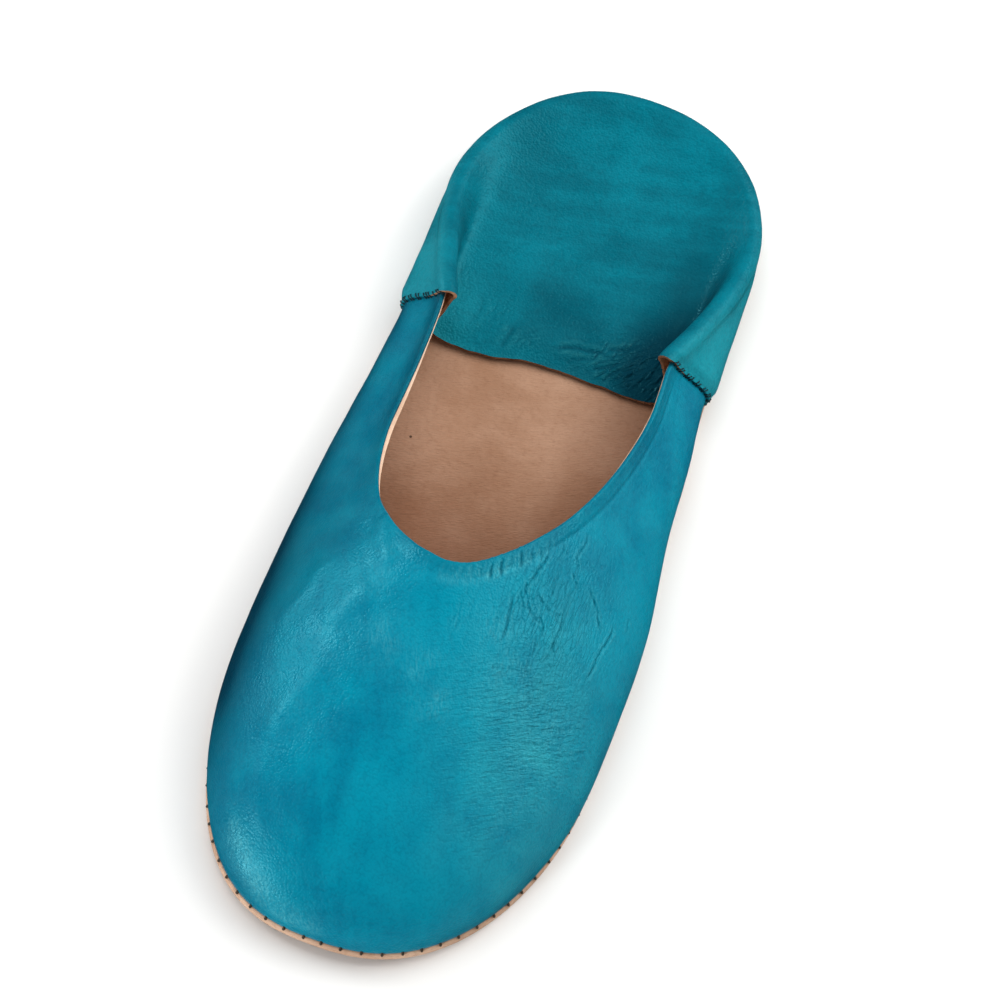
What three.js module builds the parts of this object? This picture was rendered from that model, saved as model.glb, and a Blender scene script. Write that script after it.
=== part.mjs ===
import * as THREE from 'three';

// A babouche: a soft leather slipper for the left foot, with its heel folded down flat.
// The toe points to -Y, the outer side of the foot is +X, and the sole stands on z = 0.

// Driving dimensions, in millimetres.
const soleLength = 258.2;
const ballWidth = 96;
const soleThickness = 3.5;
const soleEdgeRound = 0.8;
const toeSpring = 2.5;
const toeSpringStart = -75; // where the underside starts to rise, from the sole's middle
const archRise = 1.2;
const archFront = -20; // the arch's ends, from the sole's middle
const archBack = 52;
const toeSwing = 2.2; // how far the toe's tip lies towards the big toe
const toeRound = 72; // length of the rounded toe end
const heelRound = 48; // length of the rounded heel end
const toeFullness = 2.5; // 2 is an ellipse, and more is squarer
const heelFullness = 2.2;
const insoleThickness = 2;
const wall = 1.8; // upper leather with its lining
const clearance = 0.3; // between pieces that touch on the real slipper
const soleMargin = 0.4; // the sole's edge outside the upper
const toeLedge = 1; // how much more of the sole shows round the toe
const heelTuck = 2.5; // how much further in the upper's own edge lies, under the heel piece

const throatStation = -36; // the front of the throat, from the sole's middle
const throatWidth = 64;
const seamStation = 48.6; // the side seams, from the sole's middle
const seamSkew = 3.2; // how much further back the outer one lies
const seamLap = 7; // how far the vamp runs on inside the heel piece
const instepHeight = 48; // the front of the throat, above the floor
const sideHeight = 24.5; // the topline at the side seams
const heelHeight = 9.5; // the topline at the back
const rimOverhang = 0.4; // how far the heel's topline stands out over the sole
const sideBulge = 10; // handle that rounds the sides out over the sole

const flapStation = 43.5; // the front edge of the folded heel, from the sole's middle
const flapWidth = 66; // across that edge
const flapSkew = 4; // how much further forward it reaches on the inner side
const flapCorner = 3; // how far its corners are cut back
const flapCornerLift = 3; // and how far they stand up
const flapFall = 0.35; // how long the flap keeps the direction in which it leaves the fold, as a share of its run
const flapLie = 0.45; // and the share of its run on which it has settled on the insole

// Half widths of the sole as shares of half the ball's width, from the toe (along 0) to the heel (along 1).
const soleRows = [
  { along: 0.0, medial: 0.95, lateral: 0.95 },
  { along: 0.12, medial: 0.99, lateral: 1.01 },
  { along: 0.22, medial: 1.0, lateral: 1.045 },
  { along: 0.38, medial: 0.955, lateral: 1.04 },
  { along: 0.52, medial: 0.915, lateral: 0.955 },
  { along: 0.6, medial: 0.895, lateral: 0.94 },
  { along: 0.68, medial: 0.87, lateral: 0.895 },
  { along: 0.84, medial: 0.86, lateral: 0.87 },
  { along: 1.0, medial: 0.82, lateral: 0.92 },
];

// The throat's edge on each side, from its front (round 0) to the side seam (round 1), as shares of the throat's
// half width, of its length and of its height above the seams.
const throatRows = {
  medial: [
    { round: 0.0, across: 0.06, along: 0.0, height: 1.0 },
    { round: 0.16, across: 0.21, along: 0.01, height: 0.97 },
    { round: 0.32, across: 0.38, along: 0.035, height: 0.89 },
    { round: 0.48, across: 0.6, along: 0.1, height: 0.71 },
    { round: 0.64, across: 0.83, along: 0.215, height: 0.45 },
    { round: 0.8, across: 0.98, along: 0.45, height: 0.18 },
    { round: 0.92, across: 0.98, along: 0.77, height: 0.04 },
  ],
  lateral: [
    { round: 0.0, across: -0.06, along: 0.0, height: 1.0 },
    { round: 0.16, across: 0.12, along: 0.02, height: 0.99 },
    { round: 0.32, across: 0.32, along: 0.085, height: 0.93 },
    { round: 0.48, across: 0.52, along: 0.18, height: 0.82 },
    { round: 0.64, across: 0.72, along: 0.32, height: 0.62 },
    { round: 0.8, across: 0.91, along: 0.54, height: 0.34 },
    { round: 0.92, across: 1.01, along: 0.78, height: 0.11 },
  ],
};

// The shape of the vamp's sections below that edge, as shares of their height, of the bulge and of their width.
const vampRows = [
  { round: 0.0, rise: 0.45, bulge: 0.05, reach: 0.5, drop: 0.2 },
  { round: 0.16, rise: 0.45, bulge: 0.1, reach: 0.5, drop: 0.2 },
  { round: 0.32, rise: 0.45, bulge: 0.3, reach: 0.5, drop: 0.19 },
  { round: 0.48, rise: 0.45, bulge: 0.55, reach: 0.5, drop: 0.18 },
  { round: 0.64, rise: 0.46, bulge: 0.75, reach: 0.48, drop: 0.24 },
  { round: 0.8, rise: 0.48, bulge: 0.85, reach: 0.45, drop: 0.31 },
  { round: 0.92, rise: 0.48, bulge: 0.85, reach: 0.42, drop: 0.38 },
  { round: 1.0, rise: 0.48, bulge: 0.85, reach: 0.42, drop: 0.4 },
];

// The heel's sections, from the side seam (round 0) to the back (round 1). Lean is how far the topline still lies
// inwards, as a share of that at the seam, and fold is the angle through which the leather turns over it.
const heelRows = [
  { round: 0.0, lean: 1.0, height: 1.0, rise: 0.48, bulge: 0.85, reach: 0.42, drop: 0.4, fold: 178 },
  { round: 0.15, lean: 0.38, height: 0.6, rise: 0.48, bulge: 0.7, reach: 0.35, drop: 0.4, fold: 168 },
  { round: 0.26, lean: 0.12, height: 0.34, rise: 0.46, bulge: 0.55, reach: 0.25, drop: 0.36, fold: 150 },
  { round: 0.4, lean: 0.0, height: 0.1, rise: 0.42, bulge: 0.4, reach: 0.12, drop: 0.34, fold: 130 },
  { round: 0.6, lean: 0.0, height: 0.02, rise: 0.4, bulge: 0.3, reach: 0.1, drop: 0.33, fold: 118 },
  { round: 1.0, lean: 0.0, height: 0.0, rise: 0.4, bulge: 0.3, reach: 0.1, drop: 0.33, fold: 112 },
];

const halfLength = soleLength / 2;
const halfBall = ballWidth / 2;
const smooth = (x) => THREE.MathUtils.smoothstep(x, 0, 1);
const mix = THREE.MathUtils.lerp;

// A smooth curve through one column of a table, with Catmull-Rom slopes.
function columnAt(rows, knot, column, at) {
  let i = 0;
  while (i < rows.length - 2 && rows[i + 1][knot] < at) i += 1;
  const slope = (k) => {
    const before = rows[Math.max(k - 1, 0)];
    const after = rows[Math.min(k + 1, rows.length - 1)];
    return (after[column] - before[column]) / (after[knot] - before[knot]);
  };
  const span = rows[i + 1][knot] - rows[i][knot];
  const t = (at - rows[i][knot]) / span;
  const t2 = t * t;
  const t3 = t2 * t;
  return rows[i][column] * (2 * t3 - 3 * t2 + 1) + rows[i + 1][column] * (3 * t2 - 2 * t3)
    + slope(i) * span * (t3 - 2 * t2 + t) + slope(i + 1) * span * (t3 - t2);
}

// The underside of the sole: flat under the heel and the ball, with a low arch and a toe spring.
function bottomHeight(y) {
  if (y < toeSpringStart) return toeSpring * ((toeSpringStart - y) / (toeSpringStart + halfLength)) ** 2;
  if (y > archFront && y < archBack) {
    return archRise * Math.sin((Math.PI * (y - archFront)) / (archBack - archFront)) ** 2;
  }
  return 0;
}

// How full the outline is near an end: 0 at the tip and 1 where the rounded end has run out.
function roundEnd(fromTip, length, power) {
  const x = Math.min(Math.max(fromTip / length, 0), 1);
  return (1 - (1 - x) ** power) ** (1 / power);
}

// The sole's outline in plan. Turn goes round it: 0 at the toe, +90 degrees on the outer side and 180 at the heel.
function outline(turn) {
  const y = -halfLength * Math.cos(turn);
  const side = Math.sin(turn) < 0 ? 'medial' : 'lateral';
  const width = halfBall * columnAt(soleRows, 'along', side, (y + halfLength) / soleLength)
    * roundEnd(y + halfLength, toeRound, toeFullness) * roundEnd(halfLength - y, heelRound, heelFullness);
  const swing = toeSwing * Math.max(1 - (y + halfLength) / toeRound, 0) ** 3;
  return new THREE.Vector3((side === 'medial' ? -width : width) - swing, y, 0);
}

// The outward direction of the outline in plan.
function outward(turn) {
  const step = 0.01;
  const along = outline(turn + step).sub(outline(turn - step)).normalize();
  return new THREE.Vector3(along.y, -along.x, 0);
}

const turnAt = (y) => Math.acos(-y / halfLength);
const seamY = (sign) => seamStation + (sign * seamSkew) / 2;
const seamTurn = (sign) => sign * turnAt(seamY(sign));

// The upper's lower edge on the sole. It lies further in where the heel piece covers the vamp.
function featherInset(turn) {
  const y = -halfLength * Math.cos(turn);
  const underHeel = smooth((y - throatStation) / (seamStation - throatStation));
  return soleMargin + toeLedge * smooth(-y / halfLength) + heelTuck * underHeel;
}

function feather(turn) {
  const point = outline(turn).addScaledVector(outward(turn), -featherInset(turn));
  point.z = bottomHeight(point.y) + soleThickness + clearance;
  return point;
}

// A whole row of a table worked out between its own rows.
function rowAt(rows, knot, at) {
  const row = {};
  for (const column of Object.keys(rows[0])) row[column] = columnAt(rows, knot, column, at);
  return row;
}

// Every section round the upper, with the topline worked out in millimetres.
function ringRows() {
  const heelSections = 12;
  const rows = [];
  for (const [sign, side] of [[1, 'lateral'], [-1, 'medial']]) {
    const seamLean = Math.abs(outline(seamTurn(sign)).x) - throatWidth / 2 + rimOverhang;
    for (const row of throatRows[side]) {
      if (row.round === 0 && sign < 0) continue;
      const x = (sign * row.across * throatWidth) / 2;
      const y = mix(throatStation, seamY(sign), row.along);
      const z = mix(sideHeight, instepHeight, row.height);
      const section = rowAt(vampRows, 'round', row.round);
      rows.push({ ...section, turn: row.round * seamTurn(sign), x, y, z, fold: heelRows[0].fold });
    }
    for (let i = 0; i <= heelSections; i += 1) {
      if (i === heelSections && sign < 0) continue;
      const row = rowAt(heelRows, 'round', i / heelSections);
      const turn = mix(seamTurn(sign), sign * Math.PI, row.round);
      const top = outline(turn).addScaledVector(outward(turn), rimOverhang - row.lean * seamLean);
      rows.push({ ...row, turn, x: top.x, y: top.y, z: mix(heelHeight, sideHeight, row.height) });
    }
  }
  rows.sort((a, b) => a.turn - b.turn);
  const count = rows.length;
  const shifted = (row, turns) => ({ ...row, turn: row.turn + turns * 2 * Math.PI });
  return [
    ...rows.slice(count - 3).map((row) => shifted(row, -1)),
    ...rows,
    ...rows.slice(0, 3).map((row) => shifted(row, 1)),
  ];
}

const ring = ringRows();
const ringAt = (column, turn) => columnAt(ring, 'turn', column, turn > Math.PI ? turn - 2 * Math.PI : turn);
const topline = (turn) => new THREE.Vector3(ringAt('x', turn), ringAt('y', turn), ringAt('z', turn));

// The outer face of the vamp, carried on round the heel: share 0 is at the sole and 1 at the topline.
function upperFace(turn, share) {
  const base = feather(turn);
  const top = topline(turn);
  const height = top.z - base.z;
  const low = base.clone().addScaledVector(outward(turn), sideBulge * ringAt('bulge', turn));
  low.z += height * ringAt('rise', turn);
  const high = top.clone().lerp(base, ringAt('reach', turn));
  high.z = top.z - height * ringAt('drop', turn);
  return new THREE.CubicBezierCurve3(base, low, high, top).getPoint(share);
}

// The directions out of that face and up along it.
function faceDirections(turn, share) {
  const step = 0.002;
  const below = upperFace(turn, Math.max(share - step, 0));
  const rising = upperFace(turn, Math.min(share + step, 1)).sub(below).normalize();
  const going = upperFace(turn + step, share).sub(upperFace(turn - step, share));
  const out = new THREE.Vector3().crossVectors(going, rising);
  if (share === 0) out.z = 0;
  return { out: out.normalize(), rising };
}

// A closed wall whose outer face is a grid of points, with the other face a thickness behind it. The first column
// stands on the sole, so there the thickness is measured level.
function wallFromFace(face, thickness) {
  const rows = face.length;
  const columns = face[0].length;
  const positions = [];
  for (const row of face) for (const point of row) positions.push(...point);
  for (let i = 0; i < rows; i += 1) {
    for (let j = 0; j < columns; j += 1) {
      const along = face[Math.min(i + 1, rows - 1)][j].clone().sub(face[Math.max(i - 1, 0)][j]);
      const across = face[i][Math.min(j + 1, columns - 1)].clone().sub(face[i][Math.max(j - 1, 0)]);
      const out = along.cross(across);
      if (j === 0) out.z = 0;
      out.normalize();
      positions.push(...face[i][j].clone().addScaledVector(out, -thickness));
    }
  }
  const index = [];
  const quad = (a, b, c, d) => index.push(a, b, c, a, c, d);
  const outer = (i, j) => i * columns + j;
  const inner = (i, j) => rows * columns + i * columns + j;
  for (let i = 0; i < rows - 1; i += 1) {
    for (let j = 0; j < columns - 1; j += 1) {
      quad(outer(i, j), outer(i + 1, j), outer(i + 1, j + 1), outer(i, j + 1));
      quad(inner(i, j), inner(i, j + 1), inner(i + 1, j + 1), inner(i + 1, j));
    }
    quad(outer(i, 0), inner(i, 0), inner(i + 1, 0), outer(i + 1, 0));
    quad(outer(i + 1, columns - 1), inner(i + 1, columns - 1), inner(i, columns - 1), outer(i, columns - 1));
  }
  for (let j = 0; j < columns - 1; j += 1) {
    quad(outer(0, j + 1), inner(0, j + 1), inner(0, j), outer(0, j));
    quad(outer(rows - 1, j), inner(rows - 1, j), inner(rows - 1, j + 1), outer(rows - 1, j + 1));
  }
  return new THREE.BufferGeometry()
    .setAttribute('position', new THREE.Float32BufferAttribute(positions, 3))
    .setIndex(index);
}

// The vamp: from one side, round the toe, to the other, open at the throat and underneath.
function vampGeometry() {
  const sections = 64;
  const steps = 13;
  const start = -turnAt(seamY(-1) + seamLap);
  const end = turnAt(seamY(1) + seamLap);
  const face = [];
  for (let i = 0; i <= sections; i += 1) {
    const turn = mix(start, end, i / sections);
    const section = [];
    for (let j = 0; j <= steps; j += 1) section.push(upperFace(turn, j / steps));
    face.push(section);
  }
  return wallFromFace(face, wall);
}

// The front edge of the folded heel, from the outer side (share 0) to the inner side (share 1).
function flapEdge(share) {
  const angle = Math.PI * (0.5 - share);
  const back = 1 - Math.abs(Math.cos(angle)) ** 0.5;
  const y = flapStation + flapCorner * back + flapSkew * (0.5 - share);
  const z = bottomHeight(y) + soleThickness + insoleThickness + 2 * clearance + wall + flapCornerLift * back;
  return new THREE.Vector3((Math.sin(angle) * flapWidth) / 2, y, z);
}

// A point of the heel piece's wall, one leather outside the vamp's face.
function heelWall(turn, share) {
  return upperFace(turn, share).addScaledVector(faceDirections(turn, share).out, wall + clearance);
}

// The share of that wall at which it leaves the sole.
function heelFoot(turn) {
  const floor = feather(turn).z;
  let low = 0;
  let high = 0.4;
  if (heelWall(turn, 0.01).z > floor) return 0;
  for (let i = 0; i < 20; i += 1) {
    const middle = (low + high) / 2;
    if (heelWall(turn, middle).z > floor) high = middle;
    else low = middle;
  }
  return high;
}

// The heel piece's outer face at one section: up the wall, over the fold and down to the flap's front edge.
function heelSection(share, steps) {
  const turn = mix(seamTurn(1), 2 * Math.PI + seamTurn(-1), share);
  const foot = heelFoot(turn);
  const points = [];
  for (let j = 0; j < steps.wall; j += 1) points.push(heelWall(turn, mix(foot, 1, j / steps.wall)));
  const { out, rising } = faceDirections(turn, 1);
  const centre = topline(turn).addScaledVector(out, -wall / 2);
  const radius = 1.5 * wall + clearance;
  const fold = THREE.MathUtils.degToRad(ringAt('fold', turn));
  const onFold = (angle) => centre.clone()
    .addScaledVector(out, radius * Math.cos(angle))
    .addScaledVector(rising, radius * Math.sin(angle));
  for (let j = 0; j < steps.fold; j += 1) {
    const angle = (fold * j) / steps.fold;
    points.push(onFold(angle));
  }
  const start = onFold(fold);
  const leaving = rising.clone().multiplyScalar(Math.cos(fold)).addScaledVector(out, -Math.sin(fold));
  const edge = flapEdge(share);
  const run = start.distanceTo(edge);
  const fall = Math.max(-leaving.z, 0.01);
  const first = start.clone().addScaledVector(leaving, Math.min(flapFall * run, (start.z - edge.z) / fall));
  const last = edge.clone().lerp(new THREE.Vector3(start.x, start.y, edge.z), flapLie);
  const flap = new THREE.CubicBezierCurve3(start, first, last, edge);
  for (let j = 0; j <= steps.flap; j += 1) points.push(flap.getPoint(j / steps.flap));
  return points;
}

function heelGeometry() {
  const sections = 44;
  const steps = { wall: 8, fold: 6, flap: 10 };
  const face = [];
  for (let i = 0; i <= sections; i += 1) face.push(heelSection(i / sections, steps));
  return wallFromFace(face, wall);
}

// A flat piece that follows the sole: rings of its edge from the underside to the top, closed by rungs across.
function layerGeometry(rings) {
  const half = 36;
  const around = 2 * half;
  const positions = [];
  for (const { inset, rise } of rings) {
    for (let i = 0; i < around; i += 1) {
      const turn = (Math.PI * i) / half;
      const edge = outline(turn).addScaledVector(outward(turn), -inset(turn));
      positions.push(edge.x, edge.y, bottomHeight(edge.y) + rise);
    }
  }
  const index = [];
  const at = (ringNumber, i) => ringNumber * around + ((i + around) % around);
  for (let r = 0; r < rings.length - 1; r += 1) {
    for (let i = 0; i < around; i += 1) {
      index.push(at(r, i), at(r, i + 1), at(r + 1, i + 1), at(r, i), at(r + 1, i + 1), at(r + 1, i));
    }
  }
  const lid = rings.length - 1;
  for (let i = 0; i < half; i += 1) {
    if (i > 0) {
      index.push(at(0, i), at(0, -i), at(0, i + 1));
      index.push(at(lid, i), at(lid, i + 1), at(lid, -i));
    }
    if (i < half - 1) {
      index.push(at(0, i + 1), at(0, -i), at(0, -i - 1));
      index.push(at(lid, i + 1), at(lid, -i - 1), at(lid, -i));
    }
  }
  return new THREE.BufferGeometry()
    .setAttribute('position', new THREE.Float32BufferAttribute(positions, 3))
    .setIndex(index);
}

function outsoleGeometry() {
  return layerGeometry([
    { inset: () => soleEdgeRound, rise: 0 },
    { inset: () => 0, rise: soleEdgeRound },
    { inset: () => 0, rise: soleThickness - soleEdgeRound / 2 },
    { inset: () => soleEdgeRound / 2, rise: soleThickness },
  ]);
}

function insoleGeometry() {
  const base = soleThickness + clearance;
  const inset = (turn) => featherInset(turn) + wall + 1.5 * clearance;
  return layerGeometry([
    { inset, rise: base },
    { inset, rise: base + insoleThickness },
  ]);
}

function piece(name, geometry, color, roughness) {
  geometry.computeVertexNormals();
  const mesh = new THREE.Mesh(geometry, new THREE.MeshStandardMaterial({ color, roughness, metalness: 0 }));
  mesh.name = name;
  return mesh;
}

const slipper = new THREE.Group();
slipper.add(piece('outsole', outsoleGeometry(), '#b98d6c', 0.75));
slipper.add(piece('insole', insoleGeometry(), '#ab7f63', 0.7));
slipper.add(piece('upper_vamp', vampGeometry(), '#0b869e', 0.5));
slipper.add(piece('upper_heel', heelGeometry(), '#0b7c92', 0.5));

// The origin is the middle of the slipper's footprint.
const middle = new THREE.Box3().setFromObject(slipper).getCenter(new THREE.Vector3());
for (const mesh of slipper.children) mesh.geometry.translate(-middle.x, -middle.y, 0);

export default slipper;
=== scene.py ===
import math

import bpy
import numpy as np
from mathutils import Matrix, Vector


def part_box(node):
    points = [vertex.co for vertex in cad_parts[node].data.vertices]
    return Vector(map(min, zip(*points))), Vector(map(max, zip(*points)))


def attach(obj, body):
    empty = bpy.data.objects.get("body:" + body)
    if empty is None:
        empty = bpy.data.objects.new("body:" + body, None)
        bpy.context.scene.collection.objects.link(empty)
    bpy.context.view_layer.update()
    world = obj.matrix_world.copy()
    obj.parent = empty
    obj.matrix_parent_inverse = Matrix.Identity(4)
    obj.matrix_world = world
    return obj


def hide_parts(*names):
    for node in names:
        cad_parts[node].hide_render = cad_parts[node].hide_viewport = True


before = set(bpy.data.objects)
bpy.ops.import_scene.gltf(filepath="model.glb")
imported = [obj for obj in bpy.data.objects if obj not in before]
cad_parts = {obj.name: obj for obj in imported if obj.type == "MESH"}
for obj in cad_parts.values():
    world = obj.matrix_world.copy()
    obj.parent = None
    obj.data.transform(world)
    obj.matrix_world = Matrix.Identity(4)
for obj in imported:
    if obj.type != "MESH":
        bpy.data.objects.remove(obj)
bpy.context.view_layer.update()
print("slipper frame loaded")

# The shape of the last, in millimetres, as the solids have it.
last = {
    "length": 258.2,
    "ballWidth": 96.0,
    "soleThickness": 3.5,
    "toeSpring": 2.5,
    "toeSpringStart": -75.0,
    "archRise": 1.2,
    "archFront": -20.0,
    "archBack": 52.0,
    "toeSwing": 2.2,
    "toeRound": 72.0,
    "heelRound": 48.0,
    "toeFullness": 2.5,
    "heelFullness": 2.2,
    "insoleThickness": 2.0,
    "wall": 1.8,
    "clearance": 0.3,
    "margin": 0.4,
    "toeLedge": 1.0,
    "heelTuck": 2.5,
    "throatStation": -36.0,
    "throatWidth": 64.0,
    "seamStation": 48.6,
    "seamSkew": 3.2,
    "seamLap": 7.0,
    "instepHeight": 48.0,
    "sideHeight": 24.5,
    "heelHeight": 9.5,
    "rimOverhang": 0.4,
    "sideBulge": 10.0,
    "flapStation": 43.5,
    "flapWidth": 66.0,
    "flapSkew": 4.0,
    "flapCorner": 3.0,
    "flapCornerLift": 3.0,
    "flapFall": 0.35,
    "flapLie": 0.45,
}
# place along the sole, inner half width, outer half width
soleRows = np.array([
    (0.0, 0.95, 0.95), (0.12, 0.99, 1.01), (0.22, 1.0, 1.045), (0.38, 0.955, 1.04), (0.52, 0.915, 0.955),
    (0.6, 0.895, 0.94), (0.68, 0.87, 0.895), (0.84, 0.86, 0.87), (1.0, 0.82, 0.92),
])
# round, across, along, height of the throat's edge
throatRows = {
    -1: [
        (0.16, 0.21, 0.01, 0.97), (0.32, 0.38, 0.035, 0.89), (0.48, 0.6, 0.1, 0.71),
        (0.64, 0.83, 0.215, 0.45), (0.8, 0.98, 0.45, 0.18), (0.92, 0.98, 0.77, 0.04),
    ],
    1: [
        (0.0, -0.06, 0.0, 1.0), (0.16, 0.12, 0.02, 0.99), (0.32, 0.32, 0.085, 0.93),
        (0.48, 0.52, 0.18, 0.82), (0.64, 0.72, 0.32, 0.62), (0.8, 0.91, 0.54, 0.34),
        (0.92, 1.01, 0.78, 0.11),
    ],
}
# round, rise, bulge, reach, drop of the vamp's sections
vampRows = np.array([
    (0.0, 0.45, 0.05, 0.5, 0.2), (0.16, 0.45, 0.1, 0.5, 0.2), (0.32, 0.45, 0.3, 0.5, 0.19),
    (0.48, 0.45, 0.55, 0.5, 0.18), (0.64, 0.46, 0.75, 0.48, 0.24), (0.8, 0.48, 0.85, 0.45, 0.31),
    (0.92, 0.48, 0.85, 0.42, 0.38), (1.0, 0.48, 0.85, 0.42, 0.4),
])
# round, lean, height, rise, bulge, reach, drop, fold of the heel's sections
heelRows = np.array([
    (0.0, 1.0, 1.0, 0.48, 0.85, 0.42, 0.4, 178), (0.15, 0.38, 0.6, 0.48, 0.7, 0.35, 0.4, 168),
    (0.26, 0.12, 0.34, 0.46, 0.55, 0.25, 0.36, 150), (0.4, 0.0, 0.1, 0.42, 0.4, 0.12, 0.34, 130),
    (0.6, 0.0, 0.02, 0.4, 0.3, 0.1, 0.33, 118), (1.0, 0.0, 0.0, 0.4, 0.3, 0.1, 0.33, 112),
])
halfLength = last["length"] / 2
heelPieceOut = last["wall"] + last["clearance"]
heelStations = 12


def mix(a, b, t):
    return a + (b - a) * t


def smooth(x):
    x = np.clip(x, 0.0, 1.0)
    return x * x * (3 - 2 * x)


def unit(v):
    return v / np.maximum(np.linalg.norm(v, axis=-1, keepdims=True), 1e-12)


def bump(distance, width):
    return np.exp(-((distance / width) ** 2))


def throughKnots(knots, values, at):
    # a smooth curve through the rows, the same one that shapes the solids
    knots, values, at = np.asarray(knots, float), np.asarray(values, float), np.asarray(at, float)
    i = np.clip(np.searchsorted(knots, at, side="left") - 1, 0, len(knots) - 2)
    number = np.arange(len(knots))
    before, after = np.maximum(number - 1, 0), np.minimum(number + 1, len(knots) - 1)
    slope = (values[after] - values[before]) / (knots[after] - knots[before])
    span = knots[i + 1] - knots[i]
    t = (at - knots[i]) / span
    return (values[i] * (2 * t**3 - 3 * t**2 + 1) + values[i + 1] * (3 * t**2 - 2 * t**3)
            + slope[i] * span * (t**3 - 2 * t**2 + t) + slope[i + 1] * span * (t**3 - t**2))


def bottomHeight(y):
    y = np.asarray(y, float)
    start = last["toeSpringStart"]
    spring = last["toeSpring"] * (np.clip(start - y, 0, None) / (start + halfLength)) ** 2
    inArch = np.clip((y - last["archFront"]) / (last["archBack"] - last["archFront"]), 0, 1)
    return spring + last["archRise"] * np.sin(np.pi * inArch) ** 2


def roundEnd(fromTip, length, power):
    x = np.clip(fromTip / length, 0, 1)
    return (1 - (1 - x) ** power) ** (1 / power)


def outline(turn):
    # the sole's edge in plan: turn is 0 at the toe and grows over the outer side to the heel
    y = -halfLength * np.cos(turn)
    along = (y + halfLength) / last["length"]
    lateral = np.sin(turn) >= 0
    share = np.where(lateral, throughKnots(soleRows[:, 0], soleRows[:, 2], along),
                     throughKnots(soleRows[:, 0], soleRows[:, 1], along))
    width = last["ballWidth"] / 2 * share * roundEnd(y + halfLength, last["toeRound"], last["toeFullness"])
    width = width * roundEnd(halfLength - y, last["heelRound"], last["heelFullness"])
    swing = last["toeSwing"] * np.clip(1 - (y + halfLength) / last["toeRound"], 0, None) ** 3
    return np.stack([np.where(lateral, width, -width) - swing, y, np.zeros_like(y)], -1)


def outward(turn):
    along = unit(outline(turn + 0.01) - outline(turn - 0.01))
    return np.stack([along[..., 1], -along[..., 0], np.zeros_like(along[..., 0])], -1)


def seamY(sign):
    return last["seamStation"] + sign * last["seamSkew"] / 2


def turnAt(y):
    return math.acos(-y / halfLength)


seamTurn = {sign: sign * turnAt(seamY(sign)) for sign in (1, -1)}


def featherInset(turn):
    y = -halfLength * np.cos(turn)
    underHeel = smooth((y - last["throatStation"]) / (last["seamStation"] - last["throatStation"]))
    return last["margin"] + last["toeLedge"] * smooth(-y / halfLength) + last["heelTuck"] * underHeel


def feather(turn):
    point = outline(turn) - outward(turn) * featherInset(turn)[..., None]
    point[..., 2] = bottomHeight(point[..., 1]) + last["soleThickness"] + last["clearance"]
    return point


def ringTable():
    # every section round the upper: turn, x, y, z, rise, bulge, reach, drop, fold
    rows = []
    halfThroat = last["throatWidth"] / 2
    for sign in (1, -1):
        seamX = abs(float(outline(np.array(seamTurn[sign]))[0]))
        lean = seamX - halfThroat + last["rimOverhang"]
        for at, across, along, height in throatRows[sign]:
            shape = [float(throughKnots(vampRows[:, 0], vampRows[:, k], at)) for k in (1, 2, 3, 4)]
            rows.append([at * seamTurn[sign], sign * across * halfThroat,
                         mix(last["throatStation"], seamY(sign), along),
                         mix(last["sideHeight"], last["instepHeight"], height), *shape, heelRows[0, 7]])
        # both sides end at the back of the heel, which is counted once
        for i in range(heelStations + (1 if sign > 0 else 0)):
            row = [float(throughKnots(heelRows[:, 0], heelRows[:, k], i / heelStations)) for k in range(8)]
            turn = np.array(mix(seamTurn[sign], sign * math.pi, i / heelStations))
            top = outline(turn) + outward(turn) * (last["rimOverhang"] - row[1] * lean)
            height = mix(last["heelHeight"], last["sideHeight"], row[2])
            rows.append([float(turn), top[0], top[1], height, *row[3:]])
    rows = np.array(sorted(rows))
    before, after = rows[-3:].copy(), rows[:3].copy()
    before[:, 0] -= 2 * math.pi
    after[:, 0] += 2 * math.pi
    return np.vstack([before, rows, after])


ring = ringTable()


def ringAt(column, turn):
    return throughKnots(ring[:, 0], ring[:, column], np.where(turn > math.pi, turn - 2 * math.pi, turn))


def topline(turn):
    return np.stack([ringAt(1, turn), ringAt(2, turn), ringAt(3, turn)], -1)


def bezier(a, b, c, d, t):
    t = t[..., None]
    return a * (1 - t) ** 3 + 3 * b * t * (1 - t) ** 2 + 3 * c * t * t * (1 - t) + d * t**3


def upperFace(turn, share):
    # the outer face of the upper: share is 0 at the sole and 1 at the topline
    base, top = feather(turn), topline(turn)
    height = top[..., 2] - base[..., 2]
    low = base + outward(turn) * (last["sideBulge"] * ringAt(5, turn))[..., None]
    low[..., 2] += height * ringAt(4, turn)
    high = mix(top, base, ringAt(6, turn)[..., None])
    high[..., 2] = top[..., 2] - height * ringAt(7, turn)
    return bezier(base, low, high, top, share)


def faceDirections(turn, share):
    step = 0.002
    rising = unit(upperFace(turn, np.minimum(share + step, 1)) - upperFace(turn, np.maximum(share - step, 0)))
    going = upperFace(turn + step, share) - upperFace(turn - step, share)
    out = np.cross(going, rising)
    out[..., 2] = np.where(share == 0, 0, out[..., 2])
    return unit(out), rising


# The solids are centred on their footprint, so the same shift is found from the sole.
soleLow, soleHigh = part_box("outsole")
solePlan = outline(np.linspace(0, 2 * math.pi, 72, endpoint=False))
soleMiddle = (solePlan.min(0) + solePlan.max(0)) / 2
shift = np.array([(soleLow.x + soleHigh.x) * 500, (soleLow.y + soleHigh.y) * 500, 0.0]) - soleMiddle


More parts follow.
